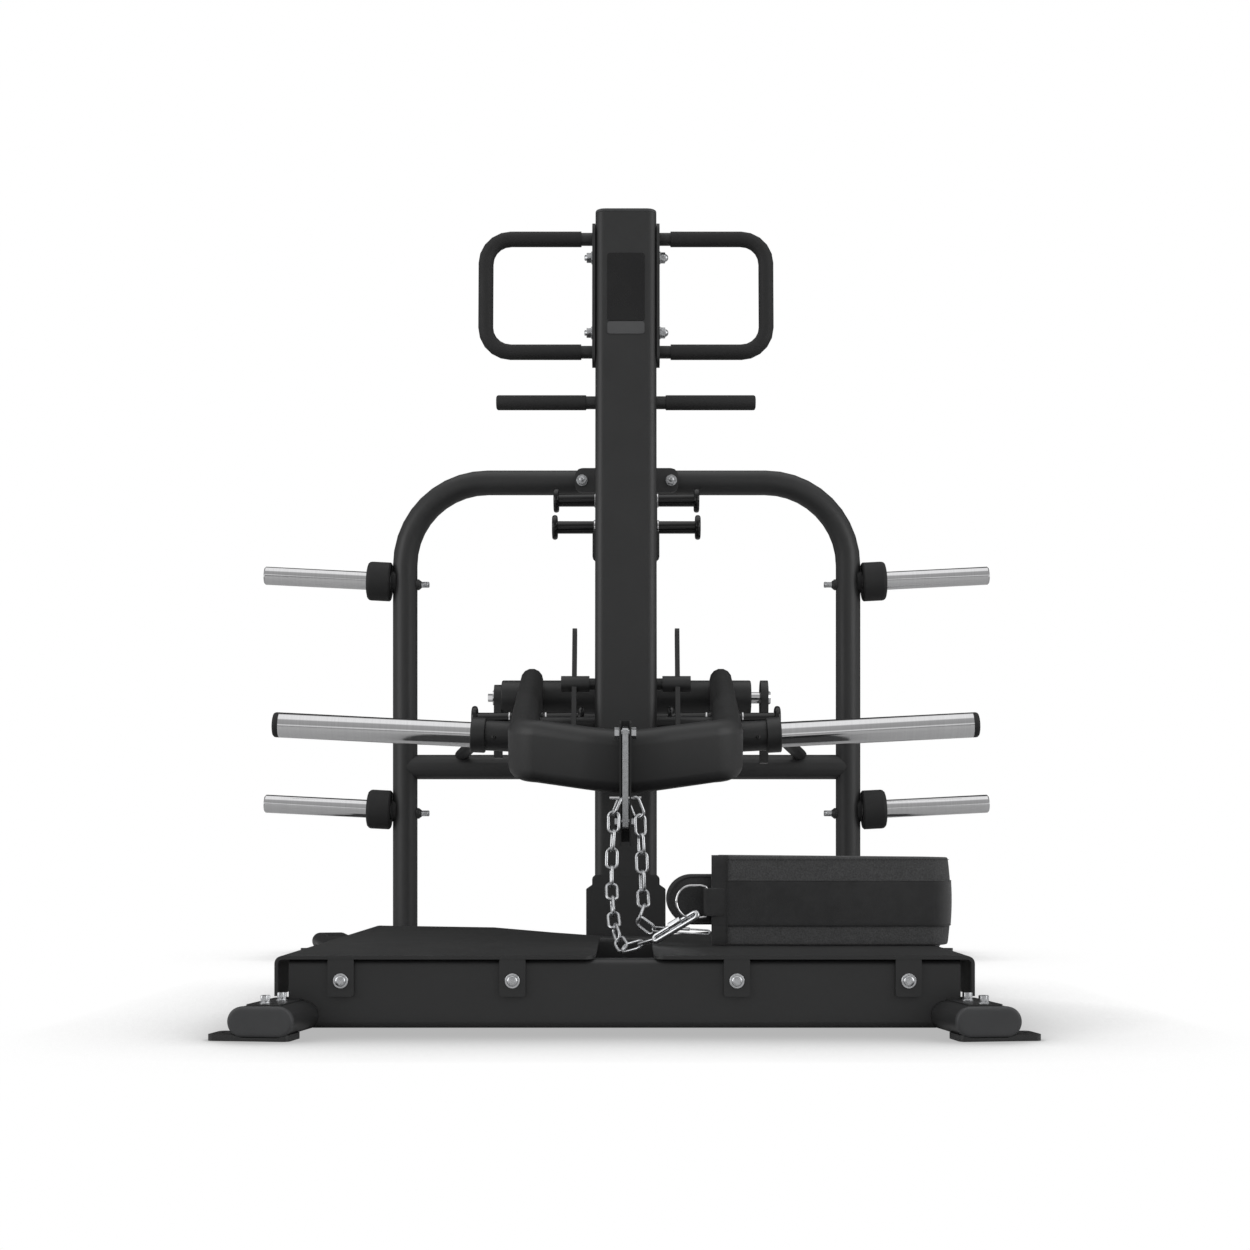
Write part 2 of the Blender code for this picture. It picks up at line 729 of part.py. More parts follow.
def post_socket():
    """Base plate on the spine with stepped cheeks before and behind the post."""
    low = tube_top() + TOUCH
    base = block("post_socket", (-SOCKET_HALF_WIDTH, POST_Y - POST_DEPTH / 2 - TOUCH - SOCKET_CHEEK, low),
                 (SOCKET_HALF_WIDTH, POST_Y + POST_DEPTH / 2 + TOUCH + SOCKET_CHEEK,
                  low + SOCKET_BASE_THICKNESS), "paint")
    wide, neck, r = SOCKET_HALF_WIDTH, SOCKET_NECK_HALF_WIDTH, SOCKET_CORNER
    half = [(wide, low), (wide, SOCKET_SHOULDER_Z), (neck, SOCKET_SHOULDER_Z + r)]
    half += arc((neck - r, SOCKET_TOP_Z - r), r, 0, 90, 3)
    outline = half + [(-x, z) for x, z in reversed(half)]
    for way in (-1, 1):
        y = POST_Y + way * (POST_DEPTH / 2 + TOUCH + SOCKET_CHEEK / 2)
        weld(base, slab("socket_cheek", outline, SOCKET_CHEEK, at(0, y, 0) @ ALONG_Y))


def upper_handles():
    """D-shaped handles: bolted plate with a bent tube, and a long sleeve grip on each."""
    lean = lean_frame()
    start = POST_WIDTH / 2 + TOUCH
    for side in (-1, 1):
        end = HANDLE_REACH - HANDLE_BEND
        upper = arc((end, HANDLE_TOP - HANDLE_BEND), HANDLE_BEND, 90, 0, 5)
        lower = arc((end, HANDLE_BOTTOM + HANDLE_BEND), HANDLE_BEND, 0, -90, 5)
        bend = [(side * x, 0, z) for x, z in upper + lower]
        inner = side * (start + HANDLE_PLATE / 2)
        path = [(inner, 0, HANDLE_TOP)] + bend + [(inner, 0, HANDLE_BOTTOM)]
        name = side_name(side)
        tube = pipe("handle_" + name, path, HANDLE_TUBE_R, "paint", 4)
        height = HANDLE_PLATE_HIGH - HANDLE_PLATE_LOW
        plate = slab("handle_plate", stadium(HANDLE_PLATE_WIDTH, height, 8), HANDLE_PLATE,
                     at(side * (start + HANDLE_PLATE / 2), 0, HANDLE_PLATE_LOW + height / 2) @ ALONG_X)
        for piece in (tube, plate):
            piece.matrix_world = lean @ piece.matrix_world
        weld(tube, plate)
        for up in HANDLE_BOLT_UP:
            cut(tube, rod("plate_bolt_hole", lean @ Vector((side * (start - BITE), 0, up)),
                          lean @ Vector((side * (start + HANDLE_PLATE + BITE), 0, up)),
                          HANDLE_BOLT_R + TOUCH, facets=16))
        first = side * GRIP_START
        sleeve_path = [(first, 0, HANDLE_TOP)] + bend + [(first, 0, HANDLE_BOTTOM)]
        grip = pipe("grip_" + name, sleeve_path, GRIP_R, "rubber", 5)
        core = pipe("grip_core", path, HANDLE_TUBE_R + TOUCH, None, 4)
        for piece in (grip, core):
            piece.matrix_world = lean @ piece.matrix_world
        cut(grip, core)


def low_handles():
    """One bar through the post with a closed sleeve grip on each end."""
    lean = lean_frame()
    rod("low_bar", lean @ Vector((-LOW_BAR_END, 0, LOW_BAR_UP)),
        lean @ Vector((LOW_BAR_END, 0, LOW_BAR_UP)), HANDLE_TUBE_R, "paint")
    depth = LOW_BAR_END + TOUCH - LOW_GRIP_START
    length = LOW_GRIP_END - LOW_GRIP_START
    inner = HANDLE_TUBE_R + TOUCH
    for side in (-1, 1):
        profile = [(0.0, length), (LOW_GRIP_R - 0.004, length), (LOW_GRIP_R, length - 0.004),
                   (LOW_GRIP_R, 0.0), (inner, 0.0), (inner, depth), (0.0, depth)]
        turned("low_grip_" + side_name(side), profile,
               lean @ Vector((side * LOW_GRIP_START, 0, LOW_BAR_UP)), (side, 0, 0), "rubber")


def arch():
    """Hooped rear tube, its tie tube and the coped ends between them."""
    reach = ARCH_HALF_WIDTH - ARCH_BEND
    centre_z = ARCH_TOP_Z - ARCH_BEND
    bend = arc((reach, centre_z), ARCH_BEND, 0, 90, 10)
    half = [(ARCH_HALF_WIDTH, tube_top() + TOUCH)] + bend
    points = [(x, REAR_BEAM_Y, z) for x, z in half]
    points += [(-x, y, z) for x, y, z in reversed(points)]
    pipe("arch", points, ARCH_R, "paint", resolution=8)
    tie = rod("arch_tie", (-ARCH_HALF_WIDTH, REAR_BEAM_Y, ARCH_TIE_Z),
              (ARCH_HALF_WIDTH, REAR_BEAM_Y, ARCH_TIE_Z), ARCH_R, "paint")
    for side in (-1, 1):
        cut(tie, arch_leg("tie_cope", side, ARCH_TIE_Z))


def arch_leg(name, side, z):
    """A cutter with the shape of an arch leg around a height, with its clearance."""
    return rod(name, (side * ARCH_HALF_WIDTH, REAR_BEAM_Y, z - 2 * ARCH_R),
               (side * ARCH_HALF_WIDTH, REAR_BEAM_Y, z + 2 * ARCH_R), ARCH_R + 2 * TOUCH, facets=32)


def top_beam_ends():
    """Centre line of the sloping top beam, from the post's flange to the saddle."""
    low = lean_frame() @ Vector((0, POST_DEPTH / 2 + TOUCH + FLANGE_THICKNESS / 2, TOP_BEAM_POST_UP))
    high = Vector((0, REAR_BEAM_Y - ARCH_R - TOUCH - SADDLE_THICKNESS / 2, SADDLE_Z))
    return low, high


def beam_point(y):
    low, high = top_beam_ends()
    return low + (high - low) * ((y - low.y) / (high.y - low.y))


def beam_tilt():
    low, high = top_beam_ends()
    return math.atan2(high.z - low.z, high.y - low.y)


def beam_peg_points():
    """Centres of the two band pegs: one through the beam, one under it through the cheeks."""
    return beam_point(HIGH_PEG_Y), beam_point(LOW_PEG_Y) - Vector((0, 0, LOW_PEG_DROP))


def top_beam():
    """Sloping tube with a flange at the post, a saddle plate at the arch and two peg cheeks."""
    low, high = top_beam_ends()
    slope = Matrix.Rotation(beam_tilt(), 4, "X")
    beam = slab("top_beam", rounded(TOP_BEAM_WIDTH, TOP_BEAM_HEIGHT, TOP_BEAM_CORNER),
                (high - low).length + TOP_BEAM_HEIGHT,
                Matrix.Translation((low + high) / 2) @ slope @ ALONG_Y, "paint")
    lean = lean_frame()
    end = (TOP_BEAM_WIDTH + 2 * BITE, TOP_BEAM_WIDTH, 2 * TOP_BEAM_WIDTH)
    before = block_at("before_flange", end, lean @ at(
        0, POST_DEPTH / 2 + TOUCH + FLANGE_THICKNESS / 2 - TOP_BEAM_WIDTH / 2, TOP_BEAM_POST_UP))
    behind = block_at("behind_saddle", end, at(0, high.y + TOP_BEAM_WIDTH / 2, high.z))
    cut(beam, before, behind)
    flange = slab("post_flange", rounded(2 * FLANGE_HALF_WIDTH, FLANGE_HEIGHT, FLANGE_CORNER),
                  FLANGE_THICKNESS,
                  lean @ at(0, POST_DEPTH / 2 + TOUCH + FLANGE_THICKNESS / 2, TOP_BEAM_POST_UP) @ ALONG_Y)
    saddle = slab("saddle", rounded(2 * SADDLE_HALF_WIDTH, SADDLE_HEIGHT, SADDLE_CORNER), SADDLE_THICKNESS,
                  at(0, high.y, SADDLE_Z) @ ALONG_Y)
    weld(beam, flange, saddle)
    cheek = rounded(CHEEK_LENGTH, CHEEK_RISE + CHEEK_DROP, CHEEK_CORNER)
    middle = Matrix.Translation(beam_point(CHEEK_Y)) @ slope @ at(0, 0, (CHEEK_RISE - CHEEK_DROP) / 2)
    for side in (-1, 1):
        out = side * (TOP_BEAM_WIDTH + CHEEK_THICKNESS - BITE) / 2
        weld(beam, slab("cheek", cheek, CHEEK_THICKNESS + BITE, middle @ at(out, 0, 0) @ ALONG_X))
    past = Vector((peg_hold() + BEYOND, 0, 0))
    for point in beam_peg_points():
        cut(beam, rod("peg_hole", point - past, point + past, PEG_R + TOUCH, facets=FACETS))


def column():
    """Square tube from the spine up to the sloping beam, its top cut to the slope."""
    low = tube_top() + TOUCH
    under = beam_point(COLUMN_Y).z - (TOP_BEAM_HEIGHT / 2 + TOUCH) / math.cos(beam_tilt())
    high = under + COLUMN_SIZE
    piece = slab("column", rounded(COLUMN_SIZE, COLUMN_SIZE, TOP_BEAM_CORNER), high - low,
                 at(0, COLUMN_Y, (low + high) / 2), "paint")
    size = 3 * COLUMN_SIZE
    slope = Matrix.Translation((0, COLUMN_Y, under)) @ Matrix.Rotation(beam_tilt(), 4, "X")
    cut(piece, block_at("column_slope", (size, size, size), slope @ at(0, 0, size / 2)))


def storage_horns():
    """Four chrome plate horns on the arch legs, each with a rubber bumper."""
    for z in STORE_Z:
        level = "low" if z == min(STORE_Z) else "high"
        for side in (-1, 1):
            name = level + "_" + side_name(side)
            axis = Vector((side * math.cos(STORE_TILT), 0, math.sin(STORE_TILT)))
            leg = Vector((side * ARCH_HALF_WIDTH, REAR_BEAM_Y, z))
            inset = ARCH_R * 0.6
            length = STORE_REACH / math.cos(STORE_TILT) - inset
            radius = STORE_R
            horn = turned("storage_horn_" + name,
                          [(0.0, length), (radius - STORE_BEVEL, length), (radius, length - STORE_BEVEL),
                           (radius, 0.0), (0.0, 0.0)], leg + axis * inset, axis, "chrome")
            cut(horn, arch_leg("horn_cope", side, z))
            bore, out, soft = STORE_R + TOUCH, BUMPER_R, BUMPER_ROUND
            rim = [(out - soft + r, BUMPER_LENGTH - soft + h) for r, h in arc((0, 0), soft, 90, 0, 3)]
            rim += [(out - 0.3 * soft + r, 0.3 * soft + h) for r, h in arc((0, 0), 0.3 * soft, 0, -90, 1)]
            turned("bumper_" + name,
                   [(bore, BUMPER_LENGTH)] + rim + [(bore, 0.0), (bore, BUMPER_LENGTH)],
                   leg + axis * (ARCH_R + BUMPER_CLEAR), axis, "rubber")


def peg(name, centre, inner, outer, hold_low, hold_high):
    """A band peg along X: one turned bar with end discs and collars beside the tube that holds it."""
    rim = arc((PEG_DISC_R - PEG_RIM, 0), PEG_RIM, 90, 0, 2)
    back = [(r, -h) for r, h in reversed(rim)]
    top, bottom = outer - PEG_RIM, outer - PEG_DISC + PEG_RIM
    profile = [(0.0, outer)] + [(r, top + h) for r, h in rim] + [(r, bottom + h) for r, h in back]
    profile += [(PEG_R, outer - PEG_DISC)]
    for low, high in ((hold_high + TOUCH, hold_high + TOUCH + PEG_COLLAR),
                      (hold_low - TOUCH - PEG_COLLAR, hold_low - TOUCH)):
        profile += [(PEG_R, high), (PEG_COLLAR_R, high), (PEG_COLLAR_R, low), (PEG_R, low)]
    top, bottom = inner + PEG_DISC - PEG_RIM, inner + PEG_RIM
    profile += [(PEG_R, inner + PEG_DISC)] + [(r, top + h) for r, h in rim]
    profile += [(r, bottom + h) for r, h in back] + [(0.0, inner)]
    turned(name, profile, centre, (1, 0, 0), "gloss", 16)


def peg_hold():
    """Half the width that a band peg passes through: the beam and its cheeks."""
    return TOP_BEAM_WIDTH / 2 + CHEEK_THICKNESS


def beam_pegs():
    rear, front = beam_peg_points()
    for name, point in (("front", front), ("rear", rear)):
        peg("band_peg_" + name, point, -PEG_REACH, PEG_REACH, -peg_hold(), peg_hold())


def ears():
    """Each pivot ear: its side, inner and outer X, top radius and lower end."""
    left = HOUSING_HALF_LENGTH + TOUCH
    right = HOUSING_HALF_LENGTH + RIGHT_EAR_CLEAR
    return ((-1, -left, -left - EAR_THICKNESS, LEFT_EAR_R, LEFT_EAR_BOTTOM_Z),
            (1, right, right + EAR_THICKNESS, RIGHT_EAR_R, RIGHT_EAR_BOTTOM_Z))


def ear_outline(radius, bottom):
    """Side view of a pivot ear, in Y and Z."""
    top = arc((PIVOT_Y, PIVOT_Z), radius, -30, 210, 12)
    half = EAR_FOOT_DEPTH / 2
    return top + [(PIVOT_Y - half, bottom), (PIVOT_Y + half, bottom)]


def pivot_yoke():
    """Two ears on braces from the arch's tie, with a bar between them and a stay to the column."""
    (_, left_in, left_out, *_), (_, right_in, right_out, *_) = ears()
    share = (YOKE_BAR_Y - BRACE_IN_Y) / (REAR_BEAM_Y - BRACE_IN_Y)
    bar_z = BRACE_IN_Z + (BRACE_OUT_Z - BRACE_IN_Z) * share
    roots = [(side, (inner + outer) / 2) for side, inner, outer, *_ in ears()]
    ends = [root + side * BRACE_SPREAD * share for side, root in roots]
    high = bar_z + YOKE_BAR_RISE
    yoke = rod("pivot_yoke", (ends[0], YOKE_BAR_Y, high), (ends[1], YOKE_BAR_Y, high), YOKE_BAR_R,
               "paint", facets=16)
    for side, inner, outer, radius, bottom in ears():
        middle = (inner + outer) / 2
        ear = slab("ear", ear_outline(radius, bottom), EAR_THICKNESS, at(middle, 0, 0) @ ALONG_X)
        brace = rod("brace", (middle, BRACE_IN_Y, BRACE_IN_Z),
                    (middle + side * BRACE_SPREAD, REAR_BEAM_Y, BRACE_OUT_Z), BRACE_R, facets=16)
        weld(yoke, ear, brace)
    stay_z = bar_z - STAY_DROP
    stay = rod("stay", (0, COLUMN_Y + COLUMN_SIZE / 2 + TOUCH, stay_z), (0, YOKE_BAR_Y, stay_z),
               BRACE_R, facets=16)
    weld(yoke, stay)
    wide = 2 * (right_out + BRACE_SPREAD)
    cut(yoke, rod("tie_bite", (-wide, REAR_BEAM_Y, ARCH_TIE_Z), (wide, REAR_BEAM_Y, ARCH_TIE_Z),
                  ARCH_R + TOUCH, facets=FACETS),
        block("behind_tie", (-wide, REAR_BEAM_Y - 4 * BITE, ARCH_TIE_Z - wide / 2),
              (wide, REAR_BEAM_Y + BEYOND, ARCH_TIE_Z + wide / 2)),
        rod("ear_bore", (left_out - BEYOND, PIVOT_Y, PIVOT_Z), (right_out + BEYOND, PIVOT_Y, PIVOT_Z),
            SHAFT_R + TOUCH))


def pivot_shaft():
    """Fixed shaft through both ears, with a hex head at the left and a round cap at the right."""
    (_, _, left, *_), (_, _, right, *_) = ears()
    shaft = rod("pivot_shaft", (left, PIVOT_Y, PIVOT_Z), (right, PIVOT_Y, PIVOT_Z), SHAFT_R, "chrome")
    out = left - TOUCH
    neck = rod("neck", (out - BITE, PIVOT_Y, PIVOT_Z), (right + TOUCH + BITE, PIVOT_Y, PIVOT_Z),
               SHAFT_HEAD_R * 0.8, facets=12)
    washer = rod("washer", (out - SHAFT_WASHER, PIVOT_Y, PIVOT_Z), (out, PIVOT_Y, PIVOT_Z), SHAFT_CAP_R)
    head = rod("head", (out - SHAFT_WASHER + BITE - SHAFT_HEAD, PIVOT_Y, PIVOT_Z),
               (out - SHAFT_WASHER + BITE, PIVOT_Y, PIVOT_Z), SHAFT_HEAD_R, facets=6)
    cap = rod("cap", (right + TOUCH, PIVOT_Y, PIVOT_Z), (right + TOUCH + SHAFT_CAP, PIVOT_Y, PIVOT_Z),
              SHAFT_CAP_R, tip=SHAFT_CAP_R - SHAFT_CAP / 2)
    weld(shaft, neck, washer, head, cap)


def lever_frame():
    """Origin on the pivot; Y runs along the arms towards the rear, Z out of the lever's plane."""
    return Matrix.Translation((0, PIVOT_Y, PIVOT_Z)) @ Matrix.Rotation(LEVER_TILT, 4, "X")


def arm_x(reach):
    """The right arm's centre line: its distance from the mirror plane at a reach from the pivot."""
    return ARM_PIVOT_X + (ARM_CORNER_X - ARM_PIVOT_X) * reach / CORNER_REACH


def arm_turn():
    """Angle between the right arm and the mirror plane."""
    return math.atan2(ARM_PIVOT_X - ARM_CORNER_X, CORNER_REACH)


def corner_centre():
    """Centre of the right corner's arc, which the arm's centre line runs into."""
    ahead = CORNER_REACH - CORNER_RADIUS
    end = arm_x(ahead + CORNER_RADIUS * math.sin(arm_turn()))
    return end - CORNER_RADIUS * math.cos(arm_turn()), -ahead


def bow_reach():
    """How far in front of the pivot the middle of the crossbar lies."""
    x, y = corner_centre()
    across = x + CORNER_RADIUS * math.sin(BOW_ANGLE) - BOW_ROUND
    ahead = CORNER_RADIUS * math.cos(BOW_ANGLE) - y
    return ahead + across * math.tan(BOW_ANGLE) + BOW_ROUND * math.tan(BOW_ANGLE / 2)


def lever_path():
    """Right half of the lever's centre line: arm, corner, straight bow and rounded middle."""
    bow = math.degrees(BOW_ANGLE)
    flat = [(arm_x(-ARM_TAIL), ARM_TAIL)]
    flat += arc(corner_centre(), CORNER_RADIUS, -math.degrees(arm_turn()), bow - 90, 8)
    corner = flat[-1][0]
    round_r = BOW_ROUND / math.sin(BOW_ANGLE)
    flat += arc((0, round_r - bow_reach()), round_r, bow - 90, -90, 4)
    return [(x, y, ARM_RISE + min(0.0, BOW_DROP * (x / corner - 1))) for x, y in flat]


def lever():
    """Bent flat-oval lever with hubs, collars and bores for the pegs and the pivot housing."""
    tilt = lever_frame()
    half = lever_path()
    points = half + [(-x, y, z) for x, y, z in reversed(half[:-1])]
    arms = sweep("lever", points, stadium(LEVER_THICKNESS, LEVER_HEIGHT, 7), "paint")
    arms.matrix_world = tilt @ arms.matrix_world
    past = HOUSING_HALF_LENGTH + BEYOND
    cut(arms, rod("housing_bore", (-past, PIVOT_Y, PIVOT_Z), (past, PIVOT_Y, PIVOT_Z), HOUSING_R + TOUCH))
    for side in (-1, 1):
        axis = Vector((side * math.cos(HORN_TILT), 0, math.sin(HORN_TILT)))
        hub_end = Vector((side * HUB_END, HUB_Y, HUB_Z))
        start = hub_end - axis * (HUB_END - arm_x(PIVOT_Y - HUB_Y))
        stop = hub_end + axis * (COLLAR_END - HUB_END)
        hub = rod("hub", start, hub_end + axis * 2 * BITE, HUB_R)
        collar = rod("collar", hub_end, stop, COLLAR_R)
        ease(collar, 0.0015, 1, 60.0)
        weld(arms, hub, collar)
        cut(arms, rod("horn_bore", stop - axis * (HORN_SOCKET + TOUCH), stop + axis * BEYOND, HORN_R + TOUCH))
        low, high = arm_faces(PIVOT_Y - LEVER_PEG_Y)
        cut(arms, rod("peg_bore", (side * (low - BEYOND / 2), LEVER_PEG_Y, LEVER_PEG_Z),
                      (side * (high + BEYOND / 2), LEVER_PEG_Y, LEVER_PEG_Z), PEG_R + TOUCH))


def arm_faces(reach):
    """Inner and outer X of the right arm at a reach from the pivot, with a peg's seat clear of them."""
    middle = arm_x(reach)
    return middle - LEVER_THICKNESS / 2 - BITE, middle + LEVER_THICKNESS / 2 + BITE


def lever_fittings():
    """Pivot housing, tie tube, horns and pegs on the lever."""
    housing = rod("pivot_housing", (-HOUSING_HALF_LENGTH, PIVOT_Y, PIVOT_Z),
                  (HOUSING_HALF_LENGTH, PIVOT_Y, PIVOT_Z), HOUSING_R, "paint")
    ease(housing, 0.003, 2, 60.0)
    past = HOUSING_HALF_LENGTH + BEYOND
    cut(housing, rod("shaft_bore", (-past, PIVOT_Y, PIVOT_Z), (past, PIVOT_Y, PIVOT_Z), SHAFT_R + TOUCH))
    tie_reach = (PIVOT_Y - TIE_Y + TIE_R) / math.cos(LEVER_TILT)
    tie_end = arm_x(tie_reach) - LEVER_THICKNESS / 2 - 2 * TOUCH
    rod("lever_tie", (-tie_end, TIE_Y, TIE_Z), (tie_end, TIE_Y, TIE_Z), TIE_R, "paint")
    for side in (-1, 1):
        axis = Vector((side * math.cos(HORN_TILT), 0, math.sin(HORN_TILT)))
        hub_end = Vector((side * HUB_END, HUB_Y, HUB_Z))
        root = hub_end + axis * (COLLAR_END - HUB_END - HORN_SOCKET)
        length = HORN_END - COLLAR_END + HORN_SOCKET
        name = side_name(side)
        rod("lever_horn_" + name, root, root + axis * length, HORN_R, "chrome")
        cap, soft = HORN_CAP_END - HORN_END, HORN_CAP_ROUND
        rim = arc((HORN_R - soft, cap - soft), soft, 90, 0, 3)
        turned("lever_horn_cap_" + name, [(0.0, cap)] + rim + [(HORN_R, 0.0), (0.0, 0.0)],
               root + axis * (length + TOUCH), axis, "rubber")
        low, high = arm_faces(PIVOT_Y - LEVER_PEG_Y)
        ends = (LEVER_PEG_IN, LEVER_PEG_OUT, low, high)
        if side < 0:
            ends = (-LEVER_PEG_OUT, -LEVER_PEG_IN, -high, -low)
        peg("lever_peg_" + name, (0, LEVER_PEG_Y, LEVER_PEG_Z), *ends)


def hanger():
    """Folded bracket on the crossbar with the swinging link bar and the chain pin."""
    tilt = lever_frame()
    back = -bow_reach() - LEVER_THICKNESS / 2 - TOUCH
    w, t, d = HANGER_HALF_WIDTH, HANGER_SHEET, HANGER_DEPTH
    channel = [(-w, back), (-w, back - d), (-w + t, back - d), (-w + t, back - t), (w - t, back - t),
               (w - t, back - d), (w, back - d), (w, back)]
    height = HANGER_TOP - HANGER_BOTTOM
    bracket = slab("chain_bracket", channel, height, tilt @ at(0, 0, HANGER_BOTTOM + height / 2), "paint")
    bolt_y = back - HANGER_BOLT_FORWARD
    pin_y = bolt_y - CHAIN_PIN_FORWARD
    past = w + BEYOND
    holes = [(bolt_y, up, HANGER_BOLT_R) for up in HANGER_BOLT_UP] + [(pin_y, CHAIN_PIN_UP, CHAIN_PIN_R)]
    for y, up, radius in holes:
        cut(bracket, rod("hanger_hole", tilt @ Vector((-past, y, up)), tilt @ Vector((past, y, up)),
                         radius + TOUCH, facets=12))
    length = LINK_BAR_TOP - LINK_BAR_BOTTOM
    bar = slab("link_bar", rounded(LINK_BAR_WIDTH, length, LINK_BAR_CORNER), LINK_BAR_THICKNESS,
               tilt @ at(0, bolt_y, LINK_BAR_BOTTOM + length / 2) @ ALONG_X, "zinc")
    cut(bar, rod("pin_hole", tilt @ Vector((-past, pin_y, CHAIN_PIN_UP)),
                 tilt @ Vector((past, pin_y, CHAIN_PIN_UP)), CHAIN_PIN_R + TOUCH, facets=12))
    for up in HANGER_BOLT_UP:
        bolt = rod("hanger_bolt", tilt @ Vector((-w - HANGER_NUT, bolt_y, up)),
                   tilt @ Vector((w + HANGER_NUT, bolt_y, up)), HANGER_BOLT_R, facets=12)
        weld(bar, bolt)
        for way in (-1, 1):
            weld(bar, rod("hanger_nut", tilt @ Vector((way * (w + TOUCH), bolt_y, up)),
                          tilt @ Vector((way * (w + TOUCH + HANGER_NUT), bolt_y, up)), HANGER_NUT_R,
                          facets=6))
    rod("chain_pin", tilt @ Vector((-CHAIN_PIN_HALF_LENGTH, pin_y, CHAIN_PIN_UP)),
        tilt @ Vector((CHAIN_PIN_HALF_LENGTH, pin_y, CHAIN_PIN_UP)), CHAIN_PIN_R, "chrome", facets=12)
    return tilt @ Vector((0, pin_y, CHAIN_PIN_UP))


def catch():
    """Lockout catch: shaft through the post and two hooked plates on hinge tubes."""
    rod("catch_shaft", (-CATCH_TUBE_END + TOUCH, CATCH_Y, CATCH_Z),
        (CATCH_TUBE_END - TOUCH, CATCH_Y, CATCH_Z), CATCH_SHAFT_R, "paint")
    swing = Matrix.Translation((0, CATCH_Y, CATCH_Z)) @ Matrix.Rotation(CATCH_REST, 4, "X")
    seat = TIE_Z - TIE_R - TOUCH - CATCH_Z
    b, low, soft = CATCH_BAR_HALF, seat - CATCH_FOOT_HEIGHT, CATCH_CORNER
    outline = arc((0, CATCH_TOP - b), b, 0, 180, 6) + [(-b, low + soft), (-b + soft, low)]
    outline += [(CATCH_FOOT_REACH - soft, low), (CATCH_FOOT_REACH, low + soft), (CATCH_FOOT_REACH, seat)]
    outline += arc((b + CATCH_THROAT, seat + CATCH_THROAT), CATCH_THROAT, -90, -180, 4)
    for side in (-1, 1):
        name = side_name(side)
        tube = rod("catch_" + name, (side * CATCH_TUBE_START, CATCH_Y, CATCH_Z),
                   (side * CATCH_TUBE_END, CATCH_Y, CATCH_Z), CATCH_TUBE_R, "paint")
        plate = slab("catch_plate", outline, CATCH_PLATE,
                     swing @ at(side * (CATCH_PLATE_X + CATCH_PLATE / 2), 0, 0) @ ALONG_X)
        weld(tube, plate)
        cut(tube, rod("catch_bore", (side * (CATCH_TUBE_START - BITE), CATCH_Y, CATCH_Z),
                      (side * (CATCH_TUBE_END + BITE), CATCH_Y, CATCH_Z), CATCH_SHAFT_R + TOUCH))


def chain_link(name, centre, along, across):
    """One welded chain link: a closed stadium of wire."""
    along, across = Vector(along).normalized(), Vector(across)
    across = (across - along * across.dot(along)).normalized()
    outline = stadium(LINK_LENGTH - 2 * WIRE_R, LINK_WIDTH - 2 * WIRE_R, 4)
    points = [tuple(Vector(centre) + along * u + across * v) for u, v in outline]
    return pipe(name, points, WIRE_R, None, resolution=1, closed=True)


def chain_pitch():
    return LINK_LENGTH - 4 * WIRE_R + CHAIN_SLACK


def chain_strand(name, start, count):
    """A hanging run of links that bear on each other, fused into one body."""
    first = None
    for i in range(count):
        centre = Vector(start) - Vector((0, 0, chain_pitch() * (i + 0.5)))
        link = chain_link(name if i == 0 else "link", centre, (0, 0, -1), ((0, 1, 0), (1, 0, 0))[i % 2])
        first = link if first is None else weld(first, link)
    return first


def chains(pin):
    """The two strands that hang from the pin, each with its first link threaded on it."""
    over = CHAIN_PIN_R + 2 * WIRE_R + TOUCH - LINK_LENGTH / 2 + chain_pitch() / 2
    for side, count in ((-1, 9), (1, 7)):
        strand = chain_strand("chain_" + side_name(side), pin + Vector((side * CHAIN_X, 0, over)), count)
        strand.data.materials.append(finish(strand.name, *FINISHES["zinc"]))


def belt_leaf(left, y_low, y_high):
    """A tongue with a round end, for the free end of one side of the belt."""
    r = TONGUE_WIDTH / 2
    middle = TONGUE_LOW + r
    outline = [(left + 2 * r, middle - r), (left + 2 * r, middle + r)]
    outline += arc((left - TONGUE_REACH + r, middle), r, 90, 270, 8)
    return slab("tongue", outline, y_high - y_low, at(0, (y_low + y_high) / 2, 0) @ ALONG_Y)


def belt():
    """The squat belt standing on its edge in an open loop, with a tongue on each free end."""
    t = BELT_THICKNESS
    r = (BELT_BACK_Y - BELT_FRONT_Y) / 2
    middle = (BELT_BACK_Y + BELT_FRONT_Y) / 2
    back_left = BELT_LEFT_X + BELT_BACK_SHORTER
    outer = [(BELT_LEFT_X, BELT_FRONT_Y)] + arc((BELT_RIGHT_X - r, middle), r, -90, 90, 10)
    outer += [(back_left, BELT_BACK_Y)]
    inner = [(back_left, BELT_BACK_Y - t)] + arc((BELT_RIGHT_X - r, middle), r - t, 90, -90, 10)
    inner += [(BELT_LEFT_X, BELT_FRONT_Y + t)]
    band = slab("belt", outer + inner, BELT_WIDTH, at(0, 0, BELT_LOW + BELT_WIDTH / 2), "fabric")
    inset = (t - TONGUE_THICKNESS) / 2
    weld(band, belt_leaf(BELT_LEFT_X, BELT_FRONT_Y + inset, BELT_FRONT_Y + inset + TONGUE_THICKNESS),
         belt_leaf(back_left, BELT_BACK_Y - inset - TONGUE_THICKNESS, BELT_BACK_Y - inset))


